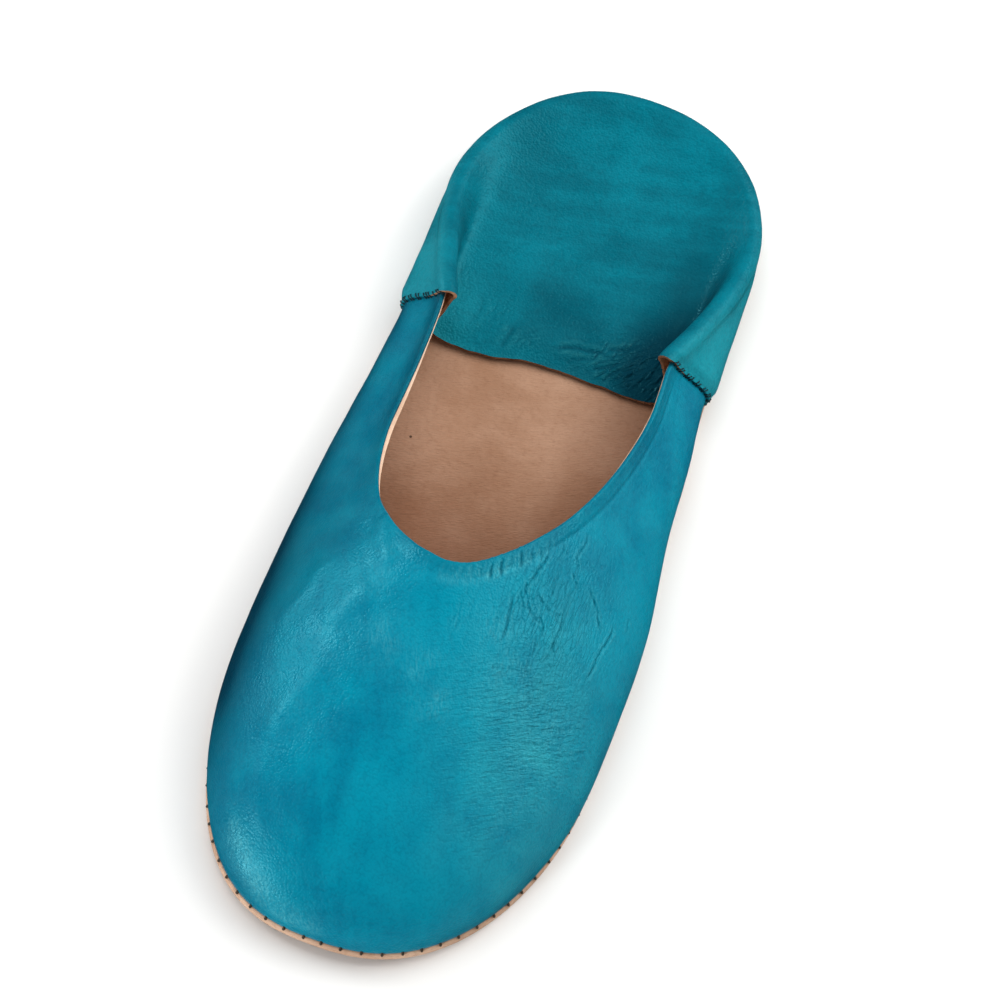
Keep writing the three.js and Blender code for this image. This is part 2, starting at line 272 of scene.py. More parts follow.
def softNoise(points, size, seed):
    # a smooth random field from -1 to 1, with one swell about every size millimetres
    cells = 24
    lattice = np.random.default_rng(seed).uniform(-1, 1, (cells, cells, cells))
    p = points / size + 50.37  # so the shoe's middle isn't a corner of a cell
    cell = np.floor(p).astype(int)
    f = smooth(p - cell)
    total = np.zeros(points.shape[:-1])
    for dx in (0, 1):
        for dy in (0, 1):
            for dz in (0, 1):
                weight = (np.where(dx, f[..., 0], 1 - f[..., 0]) * np.where(dy, f[..., 1], 1 - f[..., 1])
                          * np.where(dz, f[..., 2], 1 - f[..., 2]))
                corner = (cell + (dx, dy, dz)) % cells
                total += weight * lattice[corner[..., 0], corner[..., 1], corner[..., 2]]
    return total


def swells(points, rows):
    # unevenness of several sizes: height, size, seed
    return sum(height * softNoise(points, size, seed) for height, size, seed in rows)


def patches(plan, rows):
    # soft patches: amount, radius, middle, and how far each is drawn out along x and y
    total = np.zeros(plan.shape[:-1])
    for amount, radius, middle, *drawnOut in rows:
        away = np.linalg.norm((plan - middle) / (drawnOut[0] if drawnOut else 1), axis=-1)
        total += amount * bump(away, radius)
    return total


def smoothLine(points, step=0.5):
    points = np.array(points, float)
    lengths = np.concatenate([[0], np.cumsum(np.linalg.norm(np.diff(points, axis=0), axis=1))])
    at = np.linspace(0, lengths[-1], max(int(lengths[-1] / step), 4))
    return np.stack([throughKnots(lengths, points[:, k], at) for k in range(points.shape[1])], -1)


creaseShape = {
    "wander": 0.22,  # how far a crease strays from its line, in millimetres
    "wanderSize": 3.0,
    "fade": 0.18,  # share of the length at each end
    "ridge": 0.36,  # height of the ridge on each side, as a share of the depth
    # the painted shade along each crease's bottom: its width as a share of the crease's, and the depth from
    # which it is darkest
    "darkWidth": 0.75,
    "darkestFrom": 0.26,  # depth
}


def addCreases(points, creases, seed):
    # troughs with a low ridge on each side. Gives their height and the painted shade along the bottom of each
    # trough
    size, fade = creaseShape["wanderSize"], creaseShape["fade"]
    height, troughShade = np.zeros(points.shape[:-1]), np.zeros(points.shape[:-1])
    for number, (depth, width, line) in enumerate(creases):
        path = smoothLine(line)
        reach = 5 * width + 2
        near = np.all((points[..., :2] > path.min(0) - reach) & (points[..., :2] < path.max(0) + reach), -1)
        local = points[near]
        if len(local) == 0:
            continue
        onFace = [local[np.argmin(np.sum((local[:, :2] - p) ** 2, 1))][2] for p in path]
        path = np.column_stack([path, onFace])
        sideways = [softNoise(path, size, seed + number), softNoise(path, size, seed + 50 + number)]
        path[:, :2] += creaseShape["wander"] * np.column_stack(sideways)
        away = np.linalg.norm(local[:, None] - path[None], axis=2)
        along = away.argmin(1) / (len(path) - 1)
        distance = away.min(1)
        strength = smooth(along / fade) * smooth((1 - along) / fade)
        strength *= 1 + 0.3 * softNoise(local, 3.5, seed + 90)
        ridge = creaseShape["ridge"] * bump(distance - 2 * width, 1.2 * width)
        height[near] += depth * strength * (ridge - bump(distance, width))
        # painted shade along the bottom of the crease
        dark = bump(distance, creaseShape["darkWidth"] * width) * min(depth / creaseShape["darkestFrom"], 1)
        troughShade[near] = np.maximum(troughShade[near], strength * dark)
    return height, troughShade


def gridNormals(face):
    along, across = np.gradient(face, axis=0), np.gradient(face, axis=1)
    return unit(np.cross(along, across))


def levelNormals(face):
    # the same, but level along the sole
    out = gridNormals(face)
    out[:, 0, 2] = 0
    return unit(out)


def runOf(face, axis):
    steps = np.linalg.norm(np.diff(face, axis=axis), axis=-1)
    start = np.zeros_like(np.take(steps, [0], axis))
    return np.concatenate([start, np.cumsum(steps, axis=axis)], axis)


def addObject(name, data):
    made = bpy.data.objects.new(name, data)
    bpy.context.scene.collection.objects.link(made)
    return made


def makePiece(name, points, faces, materials, faceMaterial=None, sharpAngle=40, values=None):
    # points in millimetres
    mesh = bpy.data.meshes.new(name)
    mesh.from_pydata((np.asarray(points) / 1000).tolist(), [], [list(map(int, f)) for f in faces])
    for key, value in (values or {}).items():
        layer = mesh.attributes.new(key, "FLOAT", "POINT")
        layer.data.foreach_set("value", np.asarray(value, np.float32).ravel())
    for material in materials:
        mesh.materials.append(material)
    if faceMaterial is not None:
        mesh.polygons.foreach_set("material_index", np.asarray(faceMaterial, np.int32))
    mesh.validate()
    mesh.shade_smooth()
    mesh.set_sharp_from_angle(angle=math.radians(sharpAngle))
    return addObject(name, mesh)


def loopFaces(sections, count, outerCount):
    # faces round and along a row of closed section loops, with a ladder of triangles over each end
    faces = []
    for j in range(count):
        k = (j + 1) % count
        for i in range(sections - 1):
            faces.append((i * count + j, (i + 1) * count + j, (i + 1) * count + k, i * count + k))
    outer = list(range(outerCount))
    inner = list(range(count - 1, outerCount - 1, -1))
    lastOuter, lastInner = len(outer) - 1, len(inner) - 1
    a = b = 0
    while a < lastOuter or b < lastInner:
        outerIsBehind = a < lastOuter and (a + 1) / lastOuter <= (b + 1) / lastInner
        if b == lastInner or outerIsBehind:
            rung = (outer[a + 1], inner[b], outer[a])
            a += 1
        else:
            rung = (outer[a], inner[b + 1], inner[b])
            b += 1
        faces.append(rung)
        faces.append(tuple((sections - 1) * count + p for p in reversed(rung)))
    return faces


def threads(name, paths, radius, material, sides=6):
    # short lengths of thread, each a closed tube along its own few points
    points, faces = [], []
    for path in paths:
        path = np.asarray(path, float)
        heading = unit(np.gradient(path, axis=0))
        first = unit(np.cross(heading, [0.31, 0.17, 0.93]))
        second = np.cross(heading, first)
        start = len(points)
        for k, point in enumerate(path):
            size = radius * (0.55 if k in (0, len(path) - 1) else 1)
            for s in range(sides):
                angle = 2 * math.pi * s / sides
                points.append(point + size * (math.cos(angle) * first[k] + math.sin(angle) * second[k]))
        for k in range(len(path) - 1):
            for s in range(sides):
                a, b = start + k * sides + s, start + k * sides + (s + 1) % sides
                faces.append((a, b, b + sides, a + sides))
        faces.append(tuple(range(start + sides - 1, start - 1, -1)))
        faces.append(tuple(range(start + (len(path) - 1) * sides, start + len(path) * sides)))
    return makePiece(name, points, faces, [material])


def arcThrough(points, count):
    points = np.array(points, float)
    knots = np.arange(len(points))
    at = np.linspace(0, len(points) - 1, count)
    return np.stack([throughKnots(knots, points[:, k], at) for k in range(3)], -1)


def colour(red, green, blue):
    # from a picked 0 to 255 colour
    parts = [c / 255 for c in (red, green, blue)]
    return tuple(c / 12.92 if c <= 0.04045 else ((c + 0.055) / 1.055) ** 2.4 for c in parts) + (1.0,)


def fill(tree, node, sockets):
    for key, value in sockets.items():
        if isinstance(value, bpy.types.NodeSocket):
            tree.links.new(value, node.inputs[key])
        else:
            node.inputs[key].default_value = value


def place(tree, kind, sockets=None, settings=None):
    made = tree.nodes.new("ShaderNode" + kind)
    for key, value in (settings or {}).items():
        setattr(made, key, value)
    fill(tree, made, sockets or {})
    return made


def calc(tree, operation, a, b=0.0, clamp=False):
    return place(tree, "Math", {0: a, 1: b}, {"operation": operation, "use_clamp": clamp}).outputs[0]


def vectorCalc(tree, operation, sockets, result="Vector"):
    return place(tree, "VectorMath", sockets, {"operation": operation}).outputs[result]


def spread(tree, value, low, high, toLow=0.0, toHigh=1.0):
    sockets = {"Value": value, "From Min": low, "From Max": high, "To Min": toLow, "To Max": toHigh}
    return place(tree, "MapRange", sockets, {"interpolation_type": "SMOOTHSTEP"}).outputs[0]


def blendColours(tree, factor, a, b):
    return place(tree, "Mix", {0: factor, 6: a, 7: b}, {"data_type": "RGBA"}).outputs[2]


def stretched(tree, vector, size, turn):
    # coordinates drawn out to a cell of this size, with its long side turned from the x axis
    turn = turn if isinstance(turn, bpy.types.NodeSocket) else (0, 0, turn)
    sockets = {"Vector": vector, "Scale": size, "Rotation": turn}
    return place(tree, "Mapping", sockets, {"vector_type": "TEXTURE"}).outputs[0]


def noise(tree, vector, scale, detail=3.0, rough=0.55, twist=0.0):
    sockets = {"Vector": vector, "Scale": scale, "Detail": detail, "Roughness": rough, "Distortion": twist}
    return place(tree, "TexNoise", sockets).outputs[0]


def newGroup(name, inputs, outputs):
    tree = bpy.data.node_groups.new(name, "ShaderNodeTree")
    for label, kind, value in inputs:
        socket = tree.interface.new_socket(label, in_out="INPUT", socket_type=kind)
        if value is not None:
            socket.default_value = value
    for label, kind in outputs:
        tree.interface.new_socket(label, in_out="OUTPUT", socket_type=kind)
    return tree, tree.nodes.new("NodeGroupInput"), tree.nodes.new("NodeGroupOutput")


def useGroup(tree, group, sockets):
    made = tree.nodes.new("ShaderNodeGroup")
    made.node_tree = group
    fill(tree, made, sockets)
    return made.outputs


def makePebbleGrain():
    # the fine pebbled grain of goatskin
    tree, given, result = newGroup(
        "pebbleGrain",
        [("Place", "NodeSocketVector", None), ("Pebble Size", "NodeSocketFloat", 0.8)],
        [("Height", "NodeSocketFloat")])
    scale = calc(tree, "DIVIDE", 1.0, given.outputs["Pebble Size"])
    cells = place(tree, "TexVoronoi", {"Vector": given.outputs["Place"], "Scale": scale, "Smoothness": 0.6},
                  {"feature": "SMOOTH_F1"}).outputs["Distance"]
    cloud = noise(tree, given.outputs["Place"], calc(tree, "MULTIPLY", scale, 0.45), 4.0)
    height = calc(tree, "ADD", calc(tree, "MULTIPLY", cells, -0.6), calc(tree, "MULTIPLY", cloud, 0.6))
    tree.links.new(height, result.inputs["Height"])
    return tree


def makeCreaseNet():
    # small creases that branch and join, drawn out across their own direction
    tree, given, result = newGroup(
        "creaseNet",
        [("Place", "NodeSocketVector", None), ("Cell Size", "NodeSocketFloat", 4.0),
         ("Line Width", "NodeSocketFloat", 0.12)],
        [("Height", "NodeSocketFloat")])
    scale = calc(tree, "DIVIDE", 1.0, given.outputs["Cell Size"])
    wander = place(tree, "TexNoise", {
        "Vector": given.outputs["Place"], "Scale": calc(tree, "MULTIPLY", scale, 0.8), "Detail": 3.0,
    }).outputs["Color"]
    moved = vectorCalc(tree, "SUBTRACT", {0: wander, 1: (0.5, 0.5, 0.5)})
    moved = vectorCalc(tree, "SCALE", {0: moved, "Scale": given.outputs["Cell Size"]})
    where = vectorCalc(tree, "ADD", {0: given.outputs["Place"], 1: moved})
    cells = place(tree, "TexVoronoi", {"Vector": where, "Scale": scale}, {"feature": "DISTANCE_TO_EDGE"})
    line = spread(tree, cells.outputs["Distance"], 0.0, given.outputs["Line Width"])
    tree.links.new(line, result.inputs["Height"])
    return tree


def makeDyeMottle():
    # patches where the hand-rubbed dye took more or less, with faint wipe marks
    tree, given, result = newGroup(
        "dyeMottle",
        [("Place", "NodeSocketVector", None), ("Patch Size", "NodeSocketFloat", 30.0),
         ("Wipe Turn", "NodeSocketFloat", 1.9), ("Wipe Share", "NodeSocketFloat", 0.28)],
        [("Mask", "NodeSocketFloat"), ("Fine", "NodeSocketFloat")])
    scale = calc(tree, "DIVIDE", 1.0, given.outputs["Patch Size"])
    cloudy = noise(tree, given.outputs["Place"], scale, 4.0, 0.6, 0.4)
    turned = place(tree, "CombineXYZ", {"Z": given.outputs["Wipe Turn"]}).outputs[0]
    drawnOut = stretched(tree, given.outputs["Place"], (7.0, 1.0, 1.5), turned)
    wiped = noise(tree, drawnOut, calc(tree, "MULTIPLY", scale, 6.0), 3.0)
    share = given.outputs["Wipe Share"]
    kept = calc(tree, "MULTIPLY", cloudy, calc(tree, "SUBTRACT", 1.0, share))
    both = calc(tree, "ADD", kept, calc(tree, "MULTIPLY", wiped, share))
    fine = noise(tree, given.outputs["Place"], calc(tree, "MULTIPLY", scale, 22.0), 5.0, 0.65)
    tree.links.new(spread(tree, both, 0.36, 0.64), result.inputs["Mask"])
    tree.links.new(fine, result.inputs["Fine"])
    return tree


pebbleGrain = makePebbleGrain()
creaseNet = makeCreaseNet()
dyeMottle = makeDyeMottle()


def startMaterial(name, rough, specular, shine=(1.0, 1.0, 1.0, 1.0)):
    material = bpy.data.materials.new(name)
    material.use_nodes = True
    tree = material.node_tree
    shader = tree.nodes["Principled BSDF"]
    shader.inputs["Roughness"].default_value = rough
    shader.inputs["Specular IOR Level"].default_value = specular
    shader.inputs["Specular Tint"].default_value = shine
    where = place(tree, "TexCoord").outputs["Object"]
    millimetres = vectorCalc(tree, "SCALE", {0: where, "Scale": 1000.0})
    return material, tree, shader, millimetres


def attribute(tree, name):
    return place(tree, "Attribute", {}, {"attribute_name": name}).outputs["Fac"]


def unevenRoughness(tree, shader, value, smoothest, roughest):
    tree.links.new(spread(tree, value, 0.3, 0.7, smoothest, roughest), shader.inputs["Roughness"])


def addBump(tree, shader, layers):
    # each layer is a height socket and its depth in millimetres
    normal = None
    for height, depth in layers:
        made = place(tree, "Bump", {"Height": height, "Distance": depth / 1000, "Strength": 1.0})
        if normal is not None:
            tree.links.new(normal, made.inputs["Normal"])
        normal = made.outputs[0]
    tree.links.new(normal, shader.inputs["Normal"])


def dyedLeather(name, look):
    material, tree, shader, mm = startMaterial(name, look["roughness"], look["specular"], look["shine"])
    dye = useGroup(tree, dyeMottle, {
        "Place": mm, "Patch Size": look["patchSize"],
        "Wipe Turn": look["wipeTurn"], "Wipe Share": look["wipeShare"],
    })
    base = blendColours(tree, dye["Mask"], look["deep"], look["light"])
    fine = spread(tree, dye["Fine"], 0.3, 0.7)
    base = blendColours(tree, calc(tree, "MULTIPLY", fine, look["fineAmount"]), base, look["light"])
    # rubbed places and painted highlights are streaked along the way the cloth went
    scuffed = noise(tree, stretched(tree, mm, look["scuffSize"], look["scuffTurn"]), 1.0, 4.0, 0.65, 0.3)
    scuffed = spread(tree, scuffed, 0.38, 0.66, 0.12, 1.0)
    rubbedAndSheen = calc(tree, "MULTIPLY", attribute(tree, "rubAndSheen"), scuffed, True)
    base = blendColours(tree, rubbedAndSheen, base, look["rubbedAndSheen"])
    # painted shade in the crease troughs, and below it in the ripple furrows, the crease net and the grain's
    # hollows
    shaded = calc(tree, "MULTIPLY", attribute(tree, "troughShade"), look["troughShadeAmount"], True)
    base = blendColours(tree, shaded, base, look["troughShade"])
    netPlace = stretched(tree, mm, look["netStretch"], look["netTurn"])
    net = useGroup(tree, creaseNet, {
        "Place": netPlace, "Cell Size": look["netCell"], "Line Width": look["netLine"],
    })
    wrinkled = attribute(tree, "wrinkled")
    netDepth = calc(tree, "MULTIPLY", calc(tree, "SUBTRACT", 1.0, net["Height"]), wrinkled)
    ripplePlace = stretched(tree, mm, look["rippleSize"], look["rippleTurn"])
    rippled = attribute(tree, "rippled")
    wave = noise(tree, ripplePlace, 1.0, 2.0, 0.5, 0.5)
    ripple = calc(tree, "MULTIPLY", wave, rippled)
    furrow = calc(tree, "MULTIPLY", spread(tree, wave, 0.5, 0.38, 0.0, look["rippleShade"]), rippled, True)
    base = blendColours(tree, furrow, base, look["troughShade"])
    netShade = calc(tree, "MULTIPLY", netDepth, look["netShade"], True)
    base = blendColours(tree, netShade, base, look["troughShade"])
    # lighter patches; on the heel piece, painted light on the walls and the flap's inner side
    base = blendColours(tree, attribute(tree, "pale"), base, look["pale"])
    # painted shade, and along the vamp's folded edge a darker band
    base = blendColours(tree, attribute(tree, "dark"), base, look["dark"])
    grain = useGroup(tree, pebbleGrain, {"Place": mm, "Pebble Size": look["pebble"]})["Height"]
    grainShade = spread(tree, grain, 0.1, -0.22, 0.0, look["grainShade"])
    base = blendColours(tree, grainShade, base, look["troughShade"])
    tree.links.new(base, shader.inputs["Base Color"])
    uneven = noise(tree, mm, 0.12, 3.0)
    unevenRoughness(tree, shader, uneven, look["roughness"] - 0.07, look["roughness"] + 0.08)
    addBump(tree, shader, [
        (calc(tree, "MULTIPLY", netDepth, -1.0), look["netDepth"]),
        (ripple, look["rippleDepth"]),
        (grain, look["grainDepth"]),
    ])
    return material


def bareLeather(name, look):
    material, tree, shader, mm = startMaterial(name, look["roughness"], look["specular"])
    dye = useGroup(tree, dyeMottle, {
        "Place": mm, "Patch Size": look["patchSize"], "Wipe Turn": 0.5, "Wipe Share": 0.12,
    })
    base = blendColours(tree, dye["Mask"], look["deep"], look["light"])
    speckle = spread(tree, dye["Fine"], 0.45, 0.75, 0.0, look["speckle"])
    base = blendColours(tree, speckle, base, look["stain"])
    # a dark spot painted for the shade inside a tack hole
    if "spot" in look:
        away = vectorCalc(tree, "DISTANCE", {0: mm, 1: look["spot"]}, "Value")
        base = blendColours(tree, spread(tree, away, 0.25, 0.5, 0.85, 0.0), base, look["spotColour"])
    # wear on the soles and the cut edges; on the insole, painted shade
    wornAndShade = calc(tree, "MULTIPLY", attribute(tree, "wornAndShade"), 1.0, True)  # never over 1
    base = blendColours(tree, wornAndShade, base, look["wornAndShadeColour"])
    tree.links.new(base, shader.inputs["Base Color"])
    grainPlace = stretched(tree, mm, look.get("grainStretch", (1.0, 1.0, 1.0)), 0.4)
    grain = useGroup(tree, pebbleGrain, {"Place": grainPlace, "Pebble Size": look["pebble"]})["Height"]
    fibre = noise(tree, mm, 2.2, 5.0, 0.7)
    unevenRoughness(tree, shader, fibre, look["roughness"] - 0.06, look["roughness"] + 0.06)
    addBump(tree, shader, [(fibre, look["fibreDepth"]), (grain, look["grainDepth"])])
    return material


def waxedThread(name, look):
    material, tree, shader, mm = startMaterial(name, look["roughness"], look["specular"])
    strands = noise(tree, mm, 3.0, 3.0)
    tree.links.new(blendColours(tree, strands, look["dark"], look["light"]), shader.inputs["Base Color"])
    addBump(tree, shader, [(strands, look["strandDepth"])])
    return material


vampLook = {
    "deep": colour(0, 103, 130),
    "light": colour(0, 128, 151),
    # colour of rubbed places and of painted highlights
    "rubbedAndSheen": colour(66, 154, 168),
    # colour of the painted shade in creases, furrows and grain hollows
    "troughShade": colour(0, 70, 90),
    "pale": colour(40, 142, 156),
    # colour of the painted shade, also used for the darker band along the fold
    "dark": colour(0, 50, 70),
    "shine": (0.14, 0.88, 1.0, 1.0),
    "roughness": 0.37,
    "specular": 0.38,
    "patchSize": 30.0,
    "wipeTurn": 1.9,
    "wipeShare": 0.26,
    "fineAmount": 0.25,
    "scuffSize": (2.0, 0.5, 1.0),
    "scuffTurn": 1.95,
    "troughShadeAmount": 0.7,
    "netStretch": (4.6, 1.0, 1.3),
    "netTurn": 1.62,
    "netCell": 1.25,
    "netLine": 0.16,
    "netDepth": 0.12,
    "netShade": 0.2,
    "rippleSize": (3.8, 0.72, 1.6),
    "rippleTurn": 0.56,
    "rippleDepth": 0.6,
    "rippleShade": 0.32,
    "pebble": 0.62,
    "grainDepth": 0.18,
    "grainShade": 0.2,
}
heelLook = dict(
    vampLook,
    deep=colour(0, 87, 103),
    light=colour(0, 110, 127),
    specular=0.3,
    rubbedAndSheen=colour(42, 132, 140),
    # colour of the painted shade in the flap's creases
    troughShade=colour(0, 56, 72),
    troughShadeAmount=0.95,
    # colour of the painted light on the walls and the flap's inner side
    pale=colour(22, 134, 148),
    # colour of the painted shade on the flap
    dark=colour(0, 46, 62),
    patchSize=22.0,
    wipeTurn=0.2,
    wipeShare=0.34,
    scuffSize=(3.0, 0.8, 1.0),
    scuffTurn=0.3,
    netStretch=(2.8, 1.0, 1.2),
    netTurn=0.75,
    netCell=1.4,
)
vampDye = dyedLeather("vampDye", vampLook)
heelDye = dyedLeather("heelDye", heelLook)
liningHide = bareLeather("liningHide", {
    "deep": colour(214, 178, 150), "light": colour(236, 204, 178), "stain": colour(180, 138, 108),
    "wornAndShadeColour": colour(120, 84, 62), "roughness": 0.72, "specular": 0.2, "patchSize": 22.0, "speckle": 0.25,
    "pebble": 0.6, "fibreDepth": 0.05, "grainDepth": 0.05,
})
insoleHide = bareLeather("insoleHide", {
    "deep": colour(151, 112, 86), "light": colour(170, 133, 108), "stain": colour(130, 90, 66),
    "wornAndShadeColour": colour(104, 60, 38), "roughness": 0.62, "specular": 0.22, "patchSize": 36.0, "speckle": 0.3,
    "pebble": 0.6, "grainStretch": (2.4, 0.8, 1.0), "fibreDepth": 0.04, "grainDepth": 0.2,
    # painted shade of a tack hole
    "spot": (-28.7, 11.2, 6.9), "spotColour": colour(40, 26, 20),
})
soleHide = bareLeather("soleHide", {
    "deep": colour(180, 145, 120), "light": colour(206, 172, 146), "stain": colour(132, 98, 74),
    "wornAndShadeColour": colour(110, 76, 56), "roughness": 0.78, "specular": 0.2, "patchSize": 26.0, "speckle": 0.45,
    "pebble": 0.9, "fibreDepth": 0.12, "grainDepth": 0.08,
})
rawEdge = bareLeather("rawEdge", {
    "deep": colour(140, 92, 62), "light": colour(198, 152, 118), "stain": colour(66, 42, 30),
    "wornAndShadeColour": colour(52, 36, 30), "roughness": 0.8, "specular": 0.2, "patchSize": 5.0, "speckle": 0.5,
    "pebble": 0.5, "fibreDepth": 0.12, "grainDepth": 0.05,
})
wax = {"roughness": 0.6, "specular": 0.3, "strandDepth": 0.12}
darkThread = waxedThread("darkThread", dict(wax, dark=colour(4, 26, 34), light=colour(10, 52, 62)))
soleThread = waxedThread("soleThread", dict(wax, dark=colour(34, 28, 22), light=colour(76, 66, 52)))
print("materials made")

# the front of the upper, with its creases
vamp = {
    "sections": 600,
    "steps": 132,
    "upwards": 0.82,  # under 1 the grid is closer towards the throat
    "leather": 0.95,
    "creasedFrom": 8,  # degrees round the toe where the grid is closer
    "creasedTo": 88,
    "closer": 3.0,
    "rollRadius": 0.65,
    "rollSteps": 9,
    "beadWidth": 3.3,
    "beadRise": 0.16,
    "beadGroove": 0.14,
    # depth, half width, and the line in millimetres from the slipper's middle
    "creases": [
        (0.34, 0.36, [(19.6, -21.8), (19.1, -25.8), (18.2, -29.3), (17.9, -32), (17.1, -35), (18.4, -38)]),
        (0.26, 0.32, [(20, -34.6), (21.2, -35.6), (23.7, -36.8), (26.7, -36.8), (28.7, -35.4)]),
        (0.26, 0.34, [(26.1, -11.4), (26.7, -14.3), (26.1, -19.9), (27.7, -23.1)]),
        (0.28, 0.32, [(26.2, -24), (27.4, -25.6), (29.2, -27.2)]),
        (0.3, 0.34, [(31.3, -24.5), (33.2, -26.5), (35.6, -29), (36.3, -31), (38.6, -33.4)]),
        (0.34, 0.36, [(27.7, -32.2), (28, -35.9), (28.5, -39.9), (28.2, -43.8), (28.4, -46.2),
                      (30.1, -47.6)]),
        (0.26, 0.34, [(28.8, -42.1), (28.2, -45.6), (27.7, -48.7), (26.7, -51.1)]),
        (0.44, 0.36, [(40.2, -28.7), (40.5, -33.2), (39.6, -38.2), (39.3, -43.9), (38.8, -47.8)]),
        (0.28, 0.36, [(14.3, -38), (15.1, -40.3), (15.5, -43.4), (16.1, -47.7), (15.9, -50.7)]),
        (0.26, 0.34, [(18.1, -37.2), (19.6, -39.8), (22.2, -41.2), (24.2, -41)]),
        (0.2, 0.34, [(15.5, -36.4), (17, -38.1), (18.4, -40.5)]),
        (0.22, 0.32, [(22.2, -35.8), (22.7, -39.3), (24.4, -42.4), (24.5, -45.4)]),
        (0.2, 0.32, [(23.6, -44.6), (23.9, -47), (24.3, -49.6)]),
        (0.18, 0.32, [(29.1, -18.7), (30, -19.4), (31.4, -19.6)]),
        (0.16, 0.36, [(43, -24.6), (43.6, -27), (43.8, -30)]),
        (0.2, 0.34, [(22, -17.8), (22.2, -21.1), (21.5, -24.6)]),
        (0.18, 0.34, [(23.5, -26), (23.2, -30), (24, -34)]),
        (0.18, 0.34, [(14.5, -57.6), (19, -56.2), (22, -53.8), (25.7, -51.6)]),
        (0.2, 0.34, [(22.3, -59.1), (24.4, -57.4), (27.9, -55.6), (31.7, -54.2), (35.4, -51.6)]),
        (0.16, 0.34, [(29.8, -61), (33.5, -59.4), (36.4, -57.9)]),
        (0.24, 0.34, [(32.3, -66.3), (34.9, -63.6), (39, -61.2), (43.1, -57.6)]),
        (0.16, 0.32, [(31.5, -70.2), (35.1, -67.6), (39.5, -65.1)]),
        (0.2, 0.34, [(37.2, -70), (41.9, -65.9), (44.9, -62.4)]),
    ],
    # soft folds: height, half width, line
    "folds": [
        (0.6, 2.2, [(-24, -27), (-22.2, -33), (-19, -39.5), (-16.5, -43)]),
        (0.5, 3.4, [(-19.5, -47), (-23.5, -54), (-28, -61)]),
        (0.5, 3.4, [(-23, -70), (-28.5, -81), (-31, -92)]),
        (0.25, 2.0, [(-31, -96), (-28, -106), (-22, -114)]),
        (0.25, 2.0, [(-33, -40), (-36, -52), (-40, -62)]),
    ],
    # scattered finer creases: how many, middle, half spread, degrees, shortest and longest, depth
    "fineCreases": [
        (22, (20, -42), (9, 11), 92, (4, 11), 0.09),
        (14, (33, -37), (7, 9), 95, (4, 11), 0.08),
        (20, (30, -60), (9, 7), 34, (3, 8), 0.1),
        (8, (7, -47), (6, 7), 92, (4, 10), 0.06),
    ],
    # soft hollows, and rises where the depth is below nothing: depth, radius, middle
    "hollows": [
        (0.55, 13, (-17, -57)), (0.4, 11, (-24, -78)), (-0.5, 10, (-24, -50)), (-0.45, 12, (-27, -66)),
        (-0.45, 11, (-29, -88)), (-0.35, 15, (6, -68)), (0.35, 12, (12, -90)), (-0.3, 10, (22, -50)),
        (0.3, 9, (33, -58)), (0.3, 8, (30, -30)), (-0.3, 14, (-12, -98)),
    ],
    # the leather's own unevenness: height, size, seed
    "swells": [(0.35, 34, 2), (0.14, 13, 3), (0.05, 5, 4)],
    # where the folded edge is puckered: middle, half length across the edge, depth
    "puckers": [
        ((-3, -39.6), 1.0, 0.05), ((-0.9, -39.2), 1.1, 0.07), ((1, -38.8), 1.2, 0.08),
        ((3.3, -37.8), 1.2, 0.09), ((5.4, -36.8), 1.3, 0.1), ((7.9, -35.7), 1.7, 0.22),
        ((9.6, -33.4), 1.8, 0.24), ((11.5, -30.9), 1.3, 0.1), ((13.6, -29.2), 1.9, 0.22),
        ((15.6, -27), 1.3, 0.1), ((17.3, -24.7), 1.5, 0.12), ((18.8, -21.6), 1.3, 0.08),
    ],
    "puckerWidth": 0.36,
    "puckerRidgeAt": 0.95,
    # a painted highlight along a line round the toe's inner edge: strength, half width, line
    "toePaintedHighlight": (0.9, 2.2, [(-31.5, -112), (-26, -118.5), (-19, -124), (-11.5, -127.6), (-4, -128.8)]),
    # rubbed places, the first four being painted highlights on the inner shoulder's folds, and paler,
    # wrinkled and rippled places: strength, radius, middle, drawn out along x and y
    "scuffsAndSheen": [
        (0.4, 5, (-19.5, -40)), (0.35, 5, (-22.5, -50)), (0.3, 6, (-25.2, -62)), (0.3, 6, (-29, -84)),
        (0.45, 6, (-1, -65)), (0.4, 6, (7, -72)), (0.35, 6, (-12, -60)), (0.4, 9, (24, -62)),
        (0.45, 11, (36, -70)), (0.35, 10, (32, -88)), (0.3, 9, (16, -52)),
    ],
    "pale": [(0.65, 17, (31, -72), (1.0, 2.2))],
    "wrinkled": [(0.9, 14, (24, -37), (1.0, 1.3)), (0.35, 12, (33, -50), (1.0, 1.2))],
    "rippled": [(1.0, 16, (27, -66), (1.3, 1.0)), (0.5, 15, (26, -90))],
    # painted shade on the steep inner side, a little further up, and on the toe; and how much darker the band
    # along the fold is
    "sideShade": 0.88,
    "upperSideShade": 0.2,
    "toeShade": 0.1,
    "foldDark": 0.22,
}


def scatteredCreases(groups, seed):
    random = np.random.default_rng(seed)
    made = []
    for count, middle, spreadOut, degrees, lengths, depth in groups:
        for _ in range(count):
            heading = math.radians(degrees + random.normal(0, 8))
            ahead = np.array([math.cos(heading), math.sin(heading)])
            aside = np.array([-ahead[1], ahead[0]])
            centre = np.array(middle) + np.array(spreadOut) * random.uniform(-1, 1, 2)
            length = random.uniform(*lengths)
            line = [centre + ahead * length * t + aside * random.normal(0, 0.35)
                    for t in (-0.5, -0.18, 0.16, 0.5)]
            made.append((depth * random.uniform(0.7, 1.3), random.uniform(0.26, 0.36), line))
    return made


